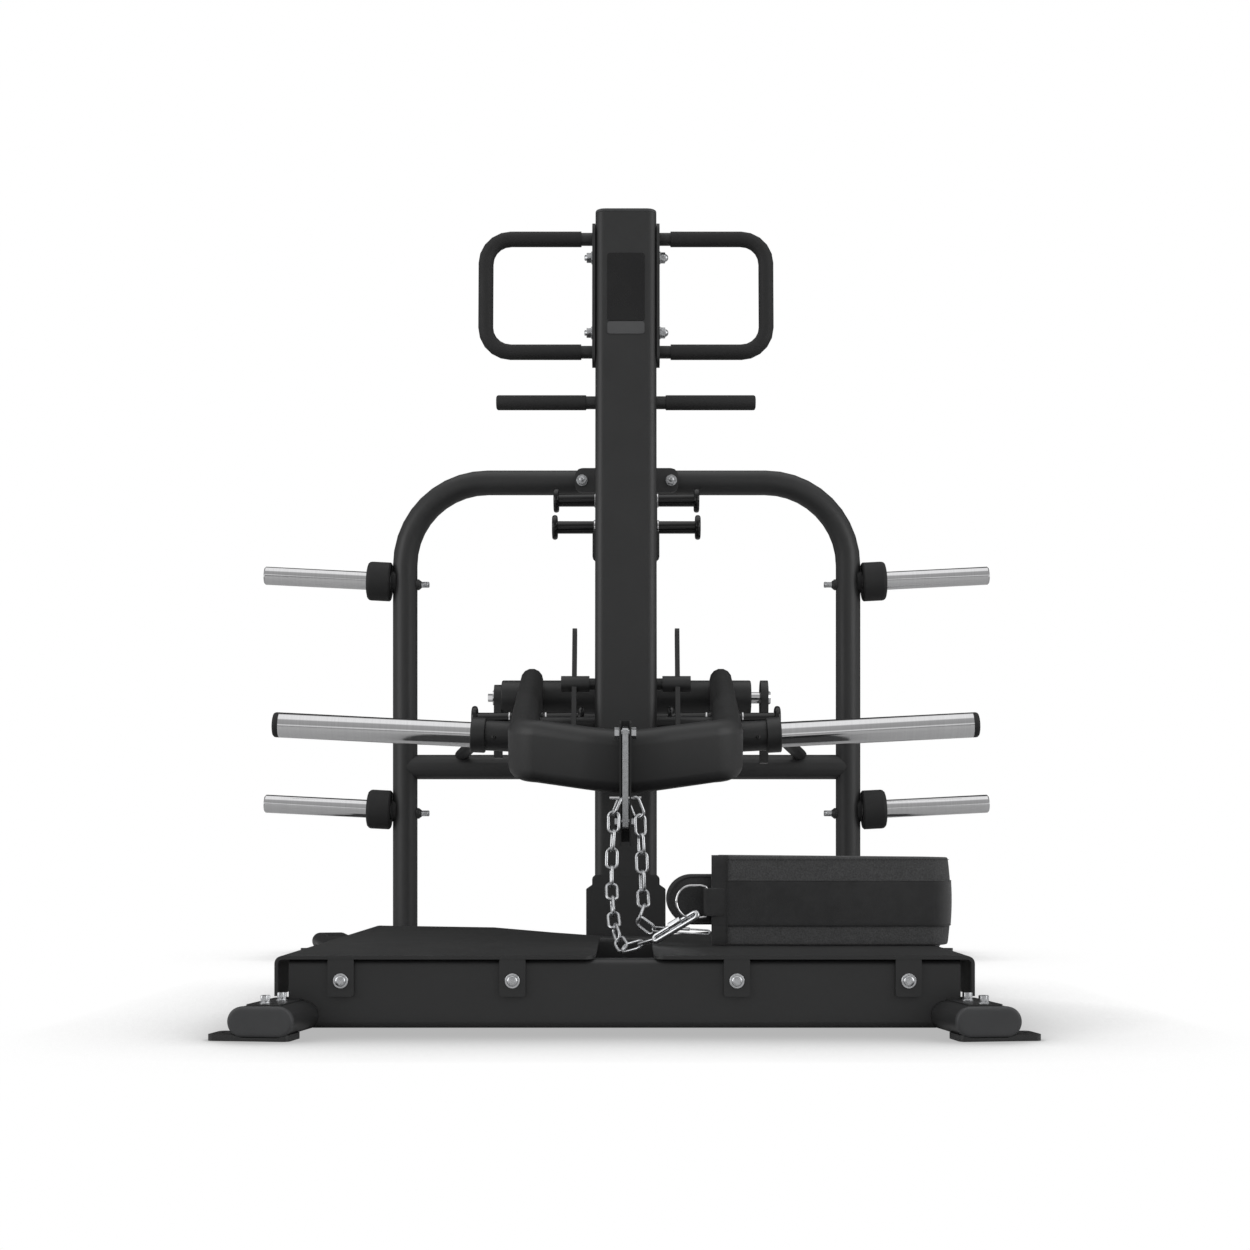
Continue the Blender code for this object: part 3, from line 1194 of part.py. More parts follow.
def hang_moving_pieces():
    """Hang each moving body on an empty at its joint."""
    sides = ("left", "right")
    lever_pieces = ["lever", "pivot_housing", "lever_tie", "chain_bracket", "link_bar", "chain_pin"]
    for stem in ("lever_horn_", "lever_horn_cap_", "lever_peg_", "chain_"):
        lever_pieces += [stem + side for side in sides]
    carry("lever_pivot", (0, PIVOT_Y, PIVOT_Z), *lever_pieces)
    carry("catch_pivot", (0, CATCH_Y, CATCH_Z), "catch_shaft", "catch_left", "catch_right")
    carry("belt_lift_point", ((BELT_LEFT_X + BELT_RIGHT_X) / 2, (BELT_FRONT_Y + BELT_BACK_Y) / 2, BELT_LOW),
          "belt")


def main():
    start_scene()
    floor_beams()
    feet()
    footplates()
    post()
    post_socket()
    upper_handles()
    low_handles()
    arch()
    top_beam()
    column()
    storage_horns()
    beam_pegs()
    pivot_yoke()
    pivot_shaft()
    lever()
    lever_fittings()
    chains(hanger())
    catch()
    belt()
    hang_moving_pieces()


main()
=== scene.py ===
"""Belt squat machine dressed for a plain white studio: finishes, fasteners, chain, couplings and belt.

X runs across the machine, Y from the platform to the rear feet, Z up, all in metres.
"""

import json
import math

import bmesh
import bpy
from mathutils import Matrix, Vector


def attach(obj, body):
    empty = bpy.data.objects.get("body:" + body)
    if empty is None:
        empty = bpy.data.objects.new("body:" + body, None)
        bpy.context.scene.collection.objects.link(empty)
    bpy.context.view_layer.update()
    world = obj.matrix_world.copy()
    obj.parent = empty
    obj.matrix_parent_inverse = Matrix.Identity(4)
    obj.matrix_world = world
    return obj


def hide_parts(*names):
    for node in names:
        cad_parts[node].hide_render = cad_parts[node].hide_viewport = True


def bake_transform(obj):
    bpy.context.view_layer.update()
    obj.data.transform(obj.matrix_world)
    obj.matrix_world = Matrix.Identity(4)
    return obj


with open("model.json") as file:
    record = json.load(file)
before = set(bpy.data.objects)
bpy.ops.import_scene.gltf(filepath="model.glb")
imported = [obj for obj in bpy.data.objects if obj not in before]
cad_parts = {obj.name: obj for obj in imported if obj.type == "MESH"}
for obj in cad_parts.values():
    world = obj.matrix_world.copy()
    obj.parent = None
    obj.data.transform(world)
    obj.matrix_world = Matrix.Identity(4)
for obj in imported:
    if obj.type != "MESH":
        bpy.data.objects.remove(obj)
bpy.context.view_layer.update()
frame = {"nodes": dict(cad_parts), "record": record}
nodes = frame["nodes"]

# A level camera in front of the platform
CAMERA_PLACE = (0.007, -3.800, 0.271)
CAMERA_LENS = 54.72
CAMERA_SENSOR = 36.0
CAMERA_SHIFT = (-0.0036, 0.1776)

# Room seen in reflections, as pairs of share of the way from straight down to straight up and level
ROOM_LEVELS = ((0.0, 0.25), (0.50, 0.75), (0.55, 0.75), (0.62, 0.34), (0.90, 0.40), (0.95, 0.95), (1.0, 0.95))
ROOM_BACK = 0.05
ROOM_FILL = 0.50

# Shade on the floor near the machine
SHADE_REACH = 0.38
SHADE_DEPTH = 8.0
SHADE_LEVEL = 0.46

# Platform tabs
TAB_FRONT_Y = -1.0520
TAB_BOLT_Z = 0.0772
TAB_BOLT_X = (0.1625, 0.4110)
TAB_BOLT_R = 0.0108

# Post and handles
POST_Y = -0.105
POST_BEND_Z = 0.560
POST_LEAN = math.radians(3.8)
POST_HALF_DEPTH = 0.030
LOW_BAR_UP = 0.5853
LOW_BAR_END = 0.2403
LOW_BAR_R = 0.0128
LOW_GRIP_R = 0.0145
LOW_GRIP_START = 0.078
LOW_GRIP_END = 0.2545
HANDLE_PLATE_X = 0.0664
HANDLE_BOLT_UP = (0.7252, 0.8765)
HANDLE_BOLT = 0.0182
PANEL_UP = (0.7394, 0.8751)
STRIP_UP = (0.7134, 0.7380)
PANEL_HALF_WIDTH = 0.0364
PANEL_CORNER = 0.0055
PANEL_BACK = 0.0002
PANEL_FRONT = 0.0012

# Rear arch and its storage horns
SADDLE_PLACE = (0.108, 0.7955, 1.158)
SADDLE_BOLT = 0.0205
ARCH_LEG_INNER_X = 0.5103
ARCH_LEG_OUTER_X = 0.5702
STORE_SEAT_RISE = 0.0070
ARCH_Y = 0.834
STORE_BOLT_Z = (0.3530, 0.9105)
SEAT_INNER = 0.0224
SEAT_OUTER = 0.0270

# Feet
FOOT_TOP_Z = 0.0507
FOOT_WIDTH = 0.095
FOOT_HEIGHT = 0.043
FOOT_MIDDLE_Z = 0.027
FOOT_ENDS = (("front_foot", 0.507, -1.147, 8.5), ("rear_foot", 0.770, 1.1429, 14.0))
FOOT_BOLTS = ((0.5060, -1.1230), (0.4930, -1.0670))
FOOT_BOLT = 0.0126
FOOT_BOLT_HEIGHT = 0.0100
FOOT_WASHER = 0.0014

# Pegs and hubs, with the peg rings' places along the pegs
BAND_PEGS = ((0.5000, 1.0551), (0.4200, 0.9808))
BAND_RING = (0.0684, 0.0722)
LEVER_PEG = (0.0600, 0.5300)
LEVER_RINGS = ((0.1610, 0.1650), (0.2345, 0.2385))
PEG_RING_INNER = 0.0141
PEG_RING_OUTER = 0.0160
SET_SCREW = (0.2600, -0.0597, 0.4876)

# Chain and hardware
WIRE_R = 0.0027
LINK_WIDTH = 0.0236

# Belt
BELT_LEFT_X = 0.1376
BELT_RIGHT_X = 0.5230
BELT_FRONT_Y = -0.7745
BELT_BACK_Y = -0.6660
BELT_LOW = 0.1142
BELT_HIGH = 0.2586
BELT_THICKNESS = 0.013
WEB_LOW = 0.1445
WEB_HIGH = 0.2185
TURN_MIDDLE = 35
TURN_BELLY = 0.0045
BELT_POINTS = 28
TURN_STEPS = 16
TURN_DEPTH = 0.62
WEB_OUT = 0.0007
STITCH = 0.0034
THREAD_R = 0.00042
END_STITCHES = 38

# Belt's tongues and D-rings, in X and Z
TONGUE_MIDDLE = (0.1085, 0.1868)
TONGUE_REACH = (0.0415, 0.0400)
TONGUE_ROOT_X = 0.165
TONGUE_LAYERS = ((0.0008, 0.0032), (0.0035, 0.0048), (0.0060, 0.0036), (0.010, 0.0044), (0.020, 0.0050))
RING_MIDDLE = (0.1055, 0.1840)
RING_REACH = (0.0238, 0.0255)
RING_BAR_X = 0.1302
RING_WIRE = 0.0021

def shader_of(name):
    """A new node material, its node tree and its Principled shader."""
    material = bpy.data.materials.new(name)
    material.use_nodes = True
    tree = material.node_tree
    return material, tree, tree.nodes["Principled BSDF"]


def object_space(tree, stretch=(1, 1, 1)):
    """Object coordinates, stretched along the axes."""
    place = tree.nodes.new("ShaderNodeTexCoord")
    mapping = tree.nodes.new("ShaderNodeMapping")
    mapping.inputs["Scale"].default_value = stretch
    tree.links.new(place.outputs["Object"], mapping.inputs["Vector"])
    return mapping.outputs["Vector"]


def noise(tree, vector, scale, detail=3.0, roughness=0.55):
    """A noise texture's value."""
    texture = tree.nodes.new("ShaderNodeTexNoise")
    texture.inputs["Scale"].default_value = scale
    texture.inputs["Detail"].default_value = detail
    texture.inputs["Roughness"].default_value = roughness
    tree.links.new(vector, texture.inputs["Vector"])
    return texture.outputs["Fac"]


def spread(tree, value, low, high, start=0.3, end=0.7):
    """The value's range start to end turned into low to high."""
    ramp = tree.nodes.new("ShaderNodeMapRange")
    ramp.inputs["From Min"].default_value = start
    ramp.inputs["From Max"].default_value = end
    ramp.inputs["To Min"].default_value = low
    ramp.inputs["To Max"].default_value = high
    tree.links.new(value, ramp.inputs["Value"])
    return ramp.outputs["Result"]


def tint(tree, value, dark, light):
    """A colour between dark and light by the value."""
    mix = tree.nodes.new("ShaderNodeMix")
    mix.data_type = "RGBA"
    mix.inputs[6].default_value = (*dark, 1)
    mix.inputs[7].default_value = (*light, 1)
    tree.links.new(value, mix.inputs[0])
    return mix.outputs[2]


def bump(tree, shader, height, distance):
    """Raises the surface by the height."""
    node = tree.nodes.new("ShaderNodeBump")
    node.inputs["Distance"].default_value = distance
    node.inputs["Strength"].default_value = 1.0
    tree.links.new(height, node.inputs["Height"])
    tree.links.new(node.outputs["Normal"], shader.inputs["Normal"])


def grained(name, dark, light, rough, grain, depth, blotch=14.0, metal=0.0, stretch=(1, 1, 1), speck=0.0):
    """A finish with a fine grain and slow changes of tone and gloss."""
    material, tree, shader = shader_of(name)
    space = object_space(tree, stretch)
    slow = noise(tree, space, blotch, 4.0)
    fine = noise(tree, space, grain, 2.0)
    mottle = tree.nodes.new("ShaderNodeMix")
    mottle.inputs[0].default_value = speck
    tree.links.new(slow, mottle.inputs[2])
    tree.links.new(fine, mottle.inputs[3])
    tree.links.new(tint(tree, spread(tree, mottle.outputs[0], 0, 1), dark, light), shader.inputs["Base Color"])
    tree.links.new(spread(tree, slow, rough[0], rough[1]), shader.inputs["Roughness"])
    shader.inputs["Metallic"].default_value = metal
    bump(tree, shader, fine, depth)
    return material


def woven(name, dark, light, pitch, rough, depth):
    """Cloth with crossing ribs of one pitch and a slow change of tone."""
    material, tree, shader = shader_of(name)
    space = object_space(tree)
    ribs = []
    for direction in ("X", "Z"):
        wave = tree.nodes.new("ShaderNodeTexWave")
        wave.bands_direction = direction
        wave.inputs["Scale"].default_value = 1.0 / (pitch * math.pi)
        wave.inputs["Distortion"].default_value = 0.4
        tree.links.new(space, wave.inputs["Vector"])
        ribs.append(wave.outputs["Fac"])
    cross = tree.nodes.new("ShaderNodeMath")
    cross.operation = "MULTIPLY"
    tree.links.new(ribs[0], cross.inputs[0])
    tree.links.new(ribs[1], cross.inputs[1])
    slow = noise(tree, space, 30.0, 5.0, 0.65)
    blend_value = tree.nodes.new("ShaderNodeMath")
    blend_value.operation = "MULTIPLY_ADD"
    blend_value.inputs[1].default_value = 0.45
    tree.links.new(cross.outputs[0], blend_value.inputs[0])
    tree.links.new(spread(tree, slow, 0.0, 0.55), blend_value.inputs[2])
    tree.links.new(tint(tree, blend_value.outputs[0], dark, light), shader.inputs["Base Color"])
    shader.inputs["Roughness"].default_value = rough
    shader.inputs["Sheen Weight"].default_value = 0.25
    shader.inputs["Sheen Roughness"].default_value = 0.5
    bump(tree, shader, cross.outputs[0], depth)
    return material


PAINT = grained("satin_powder_coat", (0.0200, 0.0203, 0.0207), (0.0225, 0.0228, 0.0232), (0.42, 0.48),
                900, 0.00004)
CAP = grained("grey_plastic", (0.040, 0.041, 0.043), (0.050, 0.051, 0.053), (0.50, 0.60), 1400, 0.00006)
RUBBER = grained("black_rubber", (0.0085, 0.0085, 0.0088), (0.013, 0.013, 0.0135), (0.62, 0.78), 1500, 0.00010)
GLOSS = grained("gloss_black", (0.006, 0.006, 0.0063), (0.009, 0.009, 0.0095), (0.10, 0.18), 700, 0.00002)
CHROME = grained("chrome", (0.74, 0.74, 0.75), (0.80, 0.80, 0.81), (0.06, 0.10), 260, 0.000003,
                 blotch=9.0, metal=1.0, stretch=(40, 1, 1))
ZINC = grained("bright_zinc", (0.52, 0.53, 0.54), (0.74, 0.75, 0.77), (0.22, 0.36), 600, 0.00004,
               blotch=120.0, metal=1.0)
FELT = grained("belt_cloth", (0.0150, 0.0152, 0.0158), (0.0380, 0.0383, 0.0392), (0.86, 0.95), 420, 0.00030,
               blotch=65.0, speck=0.72)
FOAM = grained("belt_foam_cloth", (0.0380, 0.0383, 0.0393), (0.0830, 0.0836, 0.0850), (0.86, 0.95),
               420, 0.00030, blotch=65.0, speck=0.72)
WEB = woven("belt_webbing", (0.0120, 0.0122, 0.0128), (0.0300, 0.0303, 0.0312), 0.0016, 0.80, 0.00025)
THREAD = grained("thread", (0.0070, 0.0070, 0.0075), (0.0110, 0.0110, 0.0115), (0.70, 0.80), 2500, 0.00005)
PANEL = grained("blank_panel", (0.0065, 0.0065, 0.0070), (0.0085, 0.0085, 0.0090), (0.22, 0.30), 300, 0.00001)
STRIP = grained("blank_strip", (0.060, 0.061, 0.063), (0.072, 0.073, 0.075), (0.36, 0.44), 500, 0.00001)

SLOT_FINISH = {
    "frame_paint": PAINT,
    "end_cap": CAP,
    "rubber": RUBBER,
    "peg_gloss": GLOSS,
    "chrome": CHROME,
    "zinc": ZINC,
    "belt_fabric": FELT,
}


def shade(obj):
    """Smooth faces with the sharper edges kept."""
    obj.data.shade_smooth()
    obj.data.set_sharp_from_angle(angle=math.radians(40.0))


def smooth_solid(obj):
    """Joins a solid's facets for shading and keeps its real edges crisp."""
    given = obj.data.attributes.get("custom_normal")
    if given:
        obj.data.attributes.remove(given)
    obj.data.shade_smooth()
    join = obj.modifiers.new("join", "WELD")
    join.merge_threshold = 0.00001
    split = obj.modifiers.new("edges", "EDGE_SPLIT")
    split.split_angle = math.radians(35.0)
    split.use_edge_sharp = False
    even = obj.modifiers.new("even", "WEIGHTED_NORMAL")
    even.mode = "FACE_AREA"
    even.weight = 50


def dress_frame():
    """A finish from its slot for each carried-over node."""
    for part in frame["record"]["subparts"]:
        obj = nodes[part["node"]]
        obj.data.materials.clear()
        obj.data.materials.append(SLOT_FINISH[part["material_slot"]])
        smooth_solid(obj)


def piece(name, bm, finish, body):
    """A mesh piece from bmesh, finished, riding on its body."""
    bmesh.ops.recalc_face_normals(bm, faces=bm.faces)
    mesh = bpy.data.meshes.new(name)
    bm.to_mesh(mesh)
    bm.free()
    obj = bpy.data.objects.new(name, mesh)
    bpy.context.scene.collection.objects.link(obj)
    mesh.materials.append(finish)
    shade(obj)
    if body:
        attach(obj, body)
    return obj


def frame_on(origin, axis, turn=0.0):
    """A matrix at the origin with its Z along the axis."""
    spin = Vector(axis).normalized().to_track_quat("Z", "Y").to_matrix().to_4x4()
    return Matrix.Translation(origin) @ spin @ Matrix.Rotation(turn, 4, "Z")


def bridge(bm, rings):
    """Joins rings of equally many points, each to the next."""
    for one, two in zip(rings, rings[1:]):
        for k in range(len(one)):
            m = (k + 1) % len(one)
            bm.faces.new((one[k], one[m], two[m], two[k]))


def loft(bm, rings):
    """Joins rings of equally many points and closes both ends."""
    bridge(bm, rings)
    bm.faces.new(rings[0])
    bm.faces.new(rings[-1])


def turned(bm, profile, place, steps=32):
    """Adds a turned shape: (radius, height) pairs round local Z."""
    rings = []
    for radius, height in profile:
        if radius < 1e-6:
            rings.append([bm.verts.new(place @ Vector((0, 0, height)))])
            continue
        rings.append([
            bm.verts.new(place @ Vector((radius * math.cos(a), radius * math.sin(a), height)))
            for a in (2 * math.pi * i / steps for i in range(steps))
        ])
    for low, high in zip(rings, rings[1:]):
        for i in range(steps):
            j = (i + 1) % steps
            if len(low) == 1:
                bm.faces.new((low[0], high[j], high[i]))
            elif len(high) == 1:
                bm.faces.new((low[i], low[j], high[0]))
            else:
                bm.faces.new((low[i], low[j], high[j], high[i]))


def wire_loop(bm, points, radius, sides=14):
    """Adds a closed round wire through the points."""
    rings = []
    normal = None
    for i, point in enumerate(points):
        along = (points[(i + 1) % len(points)] - points[i - 1]).normalized()
        if normal is None:
            normal = along.orthogonal().normalized()
        normal = (normal - along * normal.dot(along)).normalized()
        side = along.cross(normal)
        rings.append([
            bm.verts.new(point + radius * (math.cos(a) * normal + math.sin(a) * side))
            for a in (2 * math.pi * k / sides for k in range(sides))
        ])
    start = rings[0]
    last = rings[-1]
    shift = min(range(sides), key=lambda k: (start[k].co - last[0].co).length)
    bridge(bm, [*rings, start[shift:] + start[:shift]])


def hexagon(bm, place, across, height, low=0.0):
    """Adds a hexagon head or nut with chamfered corners."""
    corner = across / math.sqrt(3)
    chamfer = 0.12 * across
    steps = 48
    levels = []
    for share, z in ((0.93, 0.0), (1.0, 0.4 * chamfer), (1.0, height - 0.4 * chamfer), (0.90, height)):
        ring = []
        for i in range(steps):
            a = 2 * math.pi * i / steps
            flat = (a + math.pi / 6) % (math.pi / 3) - math.pi / 6
            radius = min(corner * math.cos(math.pi / 6) / math.cos(flat), corner * share)
            ring.append(bm.verts.new(place @ Vector((radius * math.cos(a), radius * math.sin(a), low + z))))
        levels.append(ring)
    loft(bm, levels)


def washer(bm, place, radius, thickness):
    """Adds a washer with an eased edge."""
    ease = 0.25 * thickness
    turned(bm, [(0, 0), (radius, 0), (radius, thickness - ease), (radius - ease, thickness),
                (0, thickness)], place)


def bolt(name, origin, axis, across, dome=False):
    """A washer, a hexagon and a threaded or domed end."""
    place = frame_on(origin, axis, 0.3)
    bm = bmesh.new()
    thin = 0.11 * across
    washer(bm, place, 0.66 * across, thin)
    hexagon(bm, place, across, 0.5 * across, thin)
    top = thin + 0.5 * across
    shank = 0.30 * across
    if dome:
        turned(bm, [(0.40 * across, top - 0.001), (0.38 * across, top + 0.1 * across),
                    (0.27 * across, top + 0.25 * across), (0.12 * across, top + 0.32 * across),
                    (0, top + 0.33 * across)], place)
    else:
        ridges = [(shank - (0.0004 if i % 2 else 0), top + 0.0007 * i) for i in range(6)]
        turned(bm, [(shank, top - 0.001), *ridges, (0.7 * shank, ridges[-1][1] + 0.0008),
                    (0, ridges[-1][1] + 0.0008)], place)
    piece(name, bm, ZINC, "root")


def button(name, origin, axis, radius):
    """A flanged head with a hexagon socket on a washer."""
    place = frame_on(origin, axis, 0.2)
    bm = bmesh.new()
    washer(bm, place, radius, 0.0016)
    head = 0.74 * radius
    turned(bm, [(head, 0.0015), (head, 0.0035), (0.93 * head, 0.0048), (0.72 * head, 0.0058),
                (0.52 * head, 0.0060), (0.46 * head, 0.0042), (0, 0.0036)], place)
    hexagon(bm, place, 1.10 * head, 0.0024, 0.0040)
    piece(name, bm, ZINC, "root")


def storage_bolt(name, origin, axis):
    """A black cone seat with the plate horn's bright bolt through it."""
    place = frame_on(origin, axis, 0.3)
    bm = bmesh.new()
    turned(bm, [(0, -0.003), (0.0132, -0.003), (0.0132, 0.0040), (0.0122, 0.0052), (0.0092, 0.0090),
                (0.0084, 0.0104), (0, 0.0104)], place)
    piece(f"{name}_seat", bm, PAINT, "root")
    bm = bmesh.new()
    hexagon(bm, place, 0.0128, 0.0150, 0.0100)
    turned(bm, [(0, 0.0240), (0.0068, 0.0240), (0.0072, 0.0248), (0.0072, 0.0276), (0.0062, 0.0290),
                (0, 0.0290)], place)
    piece(name, bm, ZINC, "root")


def on_post(up, proud=0.0):
    """A point of the post's leaning front face: height along it from the bend."""
    lean = Vector((0, math.sin(POST_LEAN), math.cos(POST_LEAN)))
    out = Vector((0, -math.cos(POST_LEAN), math.sin(POST_LEAN)))
    return Vector((0, POST_Y, POST_BEND_Z)) + up * lean + (POST_HALF_DEPTH + proud) * out


def fasteners():
    """Bolts of the tabs, handles, saddle, storage horns and feet."""
    for side, sign in (("left", -1), ("right", 1)):
        for i, x in enumerate(TAB_BOLT_X):
            button(f"tab_bolt_{side}_{i}", (sign * x, TAB_FRONT_Y, TAB_BOLT_Z), (0, -1, 0), TAB_BOLT_R)
        for i, up in enumerate(HANDLE_BOLT_UP):
            middle = on_post(up, -POST_HALF_DEPTH)
            bolt(f"handle_bolt_{side}_{i}", (sign * HANDLE_PLATE_X, middle.y, middle.z), (sign, 0, 0),
                 HANDLE_BOLT, dome=sign > 0)
        bolt(f"saddle_bolt_{side}", (sign * SADDLE_PLACE[0], *SADDLE_PLACE[1:]), (0, -1, 0), SADDLE_BOLT)
        for i, z in enumerate(STORE_BOLT_Z):
            storage_bolt(f"storage_bolt_{side}_{i}", (sign * ARCH_LEG_INNER_X, ARCH_Y, z), (-sign, 0, 0))
            # Black rubber cup round each horn's root: partly a seat, partly painted shade, its black standing
            # for the shade round the horn's root
            seat = frame_on((sign * ARCH_LEG_OUTER_X, ARCH_Y, z + STORE_SEAT_RISE), (sign, 0, 0))
            bm = bmesh.new()
            turned(bm, [(SEAT_INNER, -0.010), (SEAT_OUTER, -0.010), (SEAT_OUTER, 0.0010),
                        (SEAT_OUTER - 0.0008, 0.0014), (SEAT_INNER, 0.0014)], seat)
            piece(f"storage_seat_{side}_{i}", bm, RUBBER, "root")
        for i, (x, y) in enumerate(FOOT_BOLTS):
            place = frame_on((sign * x, y, FOOT_TOP_Z), (0, 0, 1), 0.3)
            bm = bmesh.new()
            washer(bm, place, 0.68 * FOOT_BOLT, FOOT_WASHER)
            hexagon(bm, place, FOOT_BOLT, FOOT_BOLT_HEIGHT, FOOT_WASHER)
            piece(f"front_foot_bolt_{side}_{i}", bm, ZINC, "root")


def low_grips():
    """Closed sleeve grips on the low bar, which leave a short stub bare beside the post."""
    middle = on_post(LOW_BAR_UP, -POST_HALF_DEPTH)
    depth = LOW_BAR_END - LOW_GRIP_START
    length = LOW_GRIP_END - LOW_GRIP_START
    profile = [(0, depth), (LOW_BAR_R, depth), (LOW_BAR_R, 0), (LOW_GRIP_R - 0.0008, 0), (LOW_GRIP_R, 0.0008),
               (LOW_GRIP_R, length - 0.0040), (LOW_GRIP_R - 0.0012, length - 0.0012),
               (LOW_GRIP_R - 0.0040, length), (0, length)]
    for side, sign in (("left", -1), ("right", 1)):
        bm = bmesh.new()
        turned(bm, profile, frame_on((sign * LOW_GRIP_START, middle.y, middle.z), (sign, 0, 0)), 40)
        grip = piece(f"low_grip_sleeve_{side}", bm, RUBBER, "root")
        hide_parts(f"low_grip_{side}")


def peg_ring(name, place, low, high, body):
    """A thin bright ring round a peg, its edges eased."""
    ease = 0.0008
    outer = PEG_RING_OUTER
    bm = bmesh.new()
    turned(bm, [(PEG_RING_INNER, low), (outer - ease, low), (outer, low + ease), (outer, high - ease),
                (outer - ease, high), (PEG_RING_INNER, high)], place, 40)
    piece(name, bm, CHROME, body)


def foot_caps():
    """Soft-edged plastic caps over the four feet's ends."""
    for name, x, y, angle in FOOT_ENDS:
        for side, sign in (("left", -1), ("right", 1)):
            lean = math.radians(angle)
            out = Vector((sign * math.sin(lean), math.copysign(math.cos(lean), y), 0))
            across = Vector((0, 0, 1)).cross(out)
            origin = Vector((sign * x, y, FOOT_MIDDLE_Z))
            bm = bmesh.new()
            rings = []
            for inset, reach in ((0.0, 0.0003), (0.0, 0.0066), (0.0007, 0.0084), (0.0022, 0.0096),
                                 (0.0046, 0.0100), (0.0085, 0.0098)):
                radius = FOOT_HEIGHT / 2 - inset
                straight = (FOOT_WIDTH - FOOT_HEIGHT) / 2
                ring = []
                for k in range(48):
                    a = math.radians(3.75 + 7.5 * k)
                    shift = math.copysign(straight, math.cos(a))
                    ring.append(bm.verts.new(origin + out * reach + across * (shift + radius * math.cos(a))
                                             + Vector((0, 0, radius * math.sin(a)))))
                rings.append(ring)
            loft(bm, rings)
            cap = piece(f"{name}_end_{side}", bm, CAP, "root")
            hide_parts(f"{name}_{side}_cap")


def rings_and_screws():
    """Bright seat rings on the pegs, and the hubs' set screws."""
    for side, sign in (("left", -1), ("right", 1)):
        for i, (y, z) in enumerate(BAND_PEGS):
            peg_ring(f"band_peg_ring_{side}_{i}", frame_on((0, y, z), (sign, 0, 0)), *BAND_RING, "root")
        for i, (low, high) in enumerate(LEVER_RINGS):
            peg_ring(f"lever_peg_ring_{side}_{i}", frame_on((0, *LEVER_PEG), (sign, 0, 0)), low, high, "lever")
        place = frame_on((sign * SET_SCREW[0], *SET_SCREW[1:]), (0, -1, 0.12))
        bm = bmesh.new()
        turned(bm, [(0, -0.002), (0.0040, -0.002), (0.0040, 0.0004), (0.0034, 0.0008), (0.0022, 0.0008),
                    (0.0018, -0.0012), (0, -0.0012)], place, 24)
        piece(f"set_screw_{side}", bm, GLOSS, "lever")


def placard():
    """A bare rounded plate on the post's front, with a bare strip under it."""
    inset = PANEL_HALF_WIDTH - PANEL_CORNER
    for name, finish, (low, high) in (("panel", PANEL, PANEL_UP), ("panel_strip", STRIP, STRIP_UP)):
        bm = bmesh.new()
        outline = []
        for middle_x, middle_up, start in ((inset, high - PANEL_CORNER, 0), (-inset, high - PANEL_CORNER, 90),
                                           (-inset, low + PANEL_CORNER, 180), (inset, low + PANEL_CORNER, 270)):
            for k in range(7):
                a = math.radians(start + 15 * k)
                outline.append((middle_x + PANEL_CORNER * math.cos(a), middle_up + PANEL_CORNER * math.sin(a)))
        loft(bm, [[bm.verts.new(on_post(up, proud) + Vector((x, 0, 0))) for x, up in outline]
                  for proud in (PANEL_BACK, PANEL_FRONT)])
        piece(name, bm, finish, "root")


def link_points(length, width, wire, steps=10):
    """A stadium loop's centre line in its own plane, long along X."""
    radius = width / 2 - wire
    half = length / 2 - wire - radius
    points = []
    for centre, start in ((half, -90), (-half, 90)):
        for k in range(steps + 1):
            a = math.radians(start + 180 * k / steps)
            points.append(Vector((centre + radius * math.cos(a), radius * math.sin(a), 0)))
    return points


def between(low, high, across, turn):
    """A matrix midway between two points: X along them, Y towards a direction, turned about X in degrees."""
    along = (high - low).normalized()
    across = (across - along * across.dot(along)).normalized()
    flat = Matrix.Rotation(math.radians(turn), 3, along) @ across
    basis = Matrix((along, flat, along.cross(flat))).transposed().to_4x4()
    return Matrix.Translation((low + high) / 2) @ basis


def link(bm, low, high, turn):
    """Adds a chain link between two joints, turned about its length from lying square to the front."""
    run = high - low
    across = Vector((1, 0, 0)) if abs(run.x) < 0.8 * run.length else Vector((0, 0, 1))
    place = between(low, high, across, turn)
    length = run.length + 3.7 * WIRE_R
    wire_loop(bm, [place @ p for p in link_points(length, LINK_WIDTH, WIRE_R)], WIRE_R)


def chain(name, joints, turns, node):
    """Links from joint to joint; the first one hangs on the pin."""
    bm = bmesh.new()
    points = [Vector(p) for p in joints]
    for low, high, turn in zip(points, points[1:], turns):
        link(bm, low, high, turn)
    obj = piece(name, bm, ZINC, None)
    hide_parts(node)
    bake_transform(obj)


def chains():
    """The chain's two hanging runs."""
    chain("left_chain", ((-0.0092, -0.5623, 0.3537), (-0.0197, -0.5660, 0.3290), (-0.0202, -0.5680, 0.2978),
                         (-0.0225, -0.5700, 0.2667), (-0.0233, -0.5750, 0.2362), (-0.0232, -0.5850, 0.2073),
                         (-0.0222, -0.6070, 0.1840), (-0.0206, -0.6280, 0.1600), (-0.0177, -0.6520, 0.1385),
                         (-0.0110, -0.6780, 0.1190), (-0.0022, -0.7000, 0.1050), (0.0262, -0.7200, 0.1140),
                         (0.0530, -0.7440, 0.1235)),
          (72, 12, 78, 4, 84, -6, 82, 8, 74, 38, 66, 18), "chain_left")
    chain("right_chain", ((0.0130, -0.5623, 0.3537), (0.0249, -0.5600, 0.3241), (0.0260, -0.5600, 0.2920),
                          (0.0277, -0.5620, 0.2605), (0.0286, -0.5640, 0.2285), (0.0294, -0.5660, 0.1965),
                          (0.0310, -0.5800, 0.1700), (0.0224, -0.5980, 0.1474), (0.0465, -0.6100, 0.1302)),
          (14, -24, 62, 6, 70, -8, 80, 58), "chain_right")


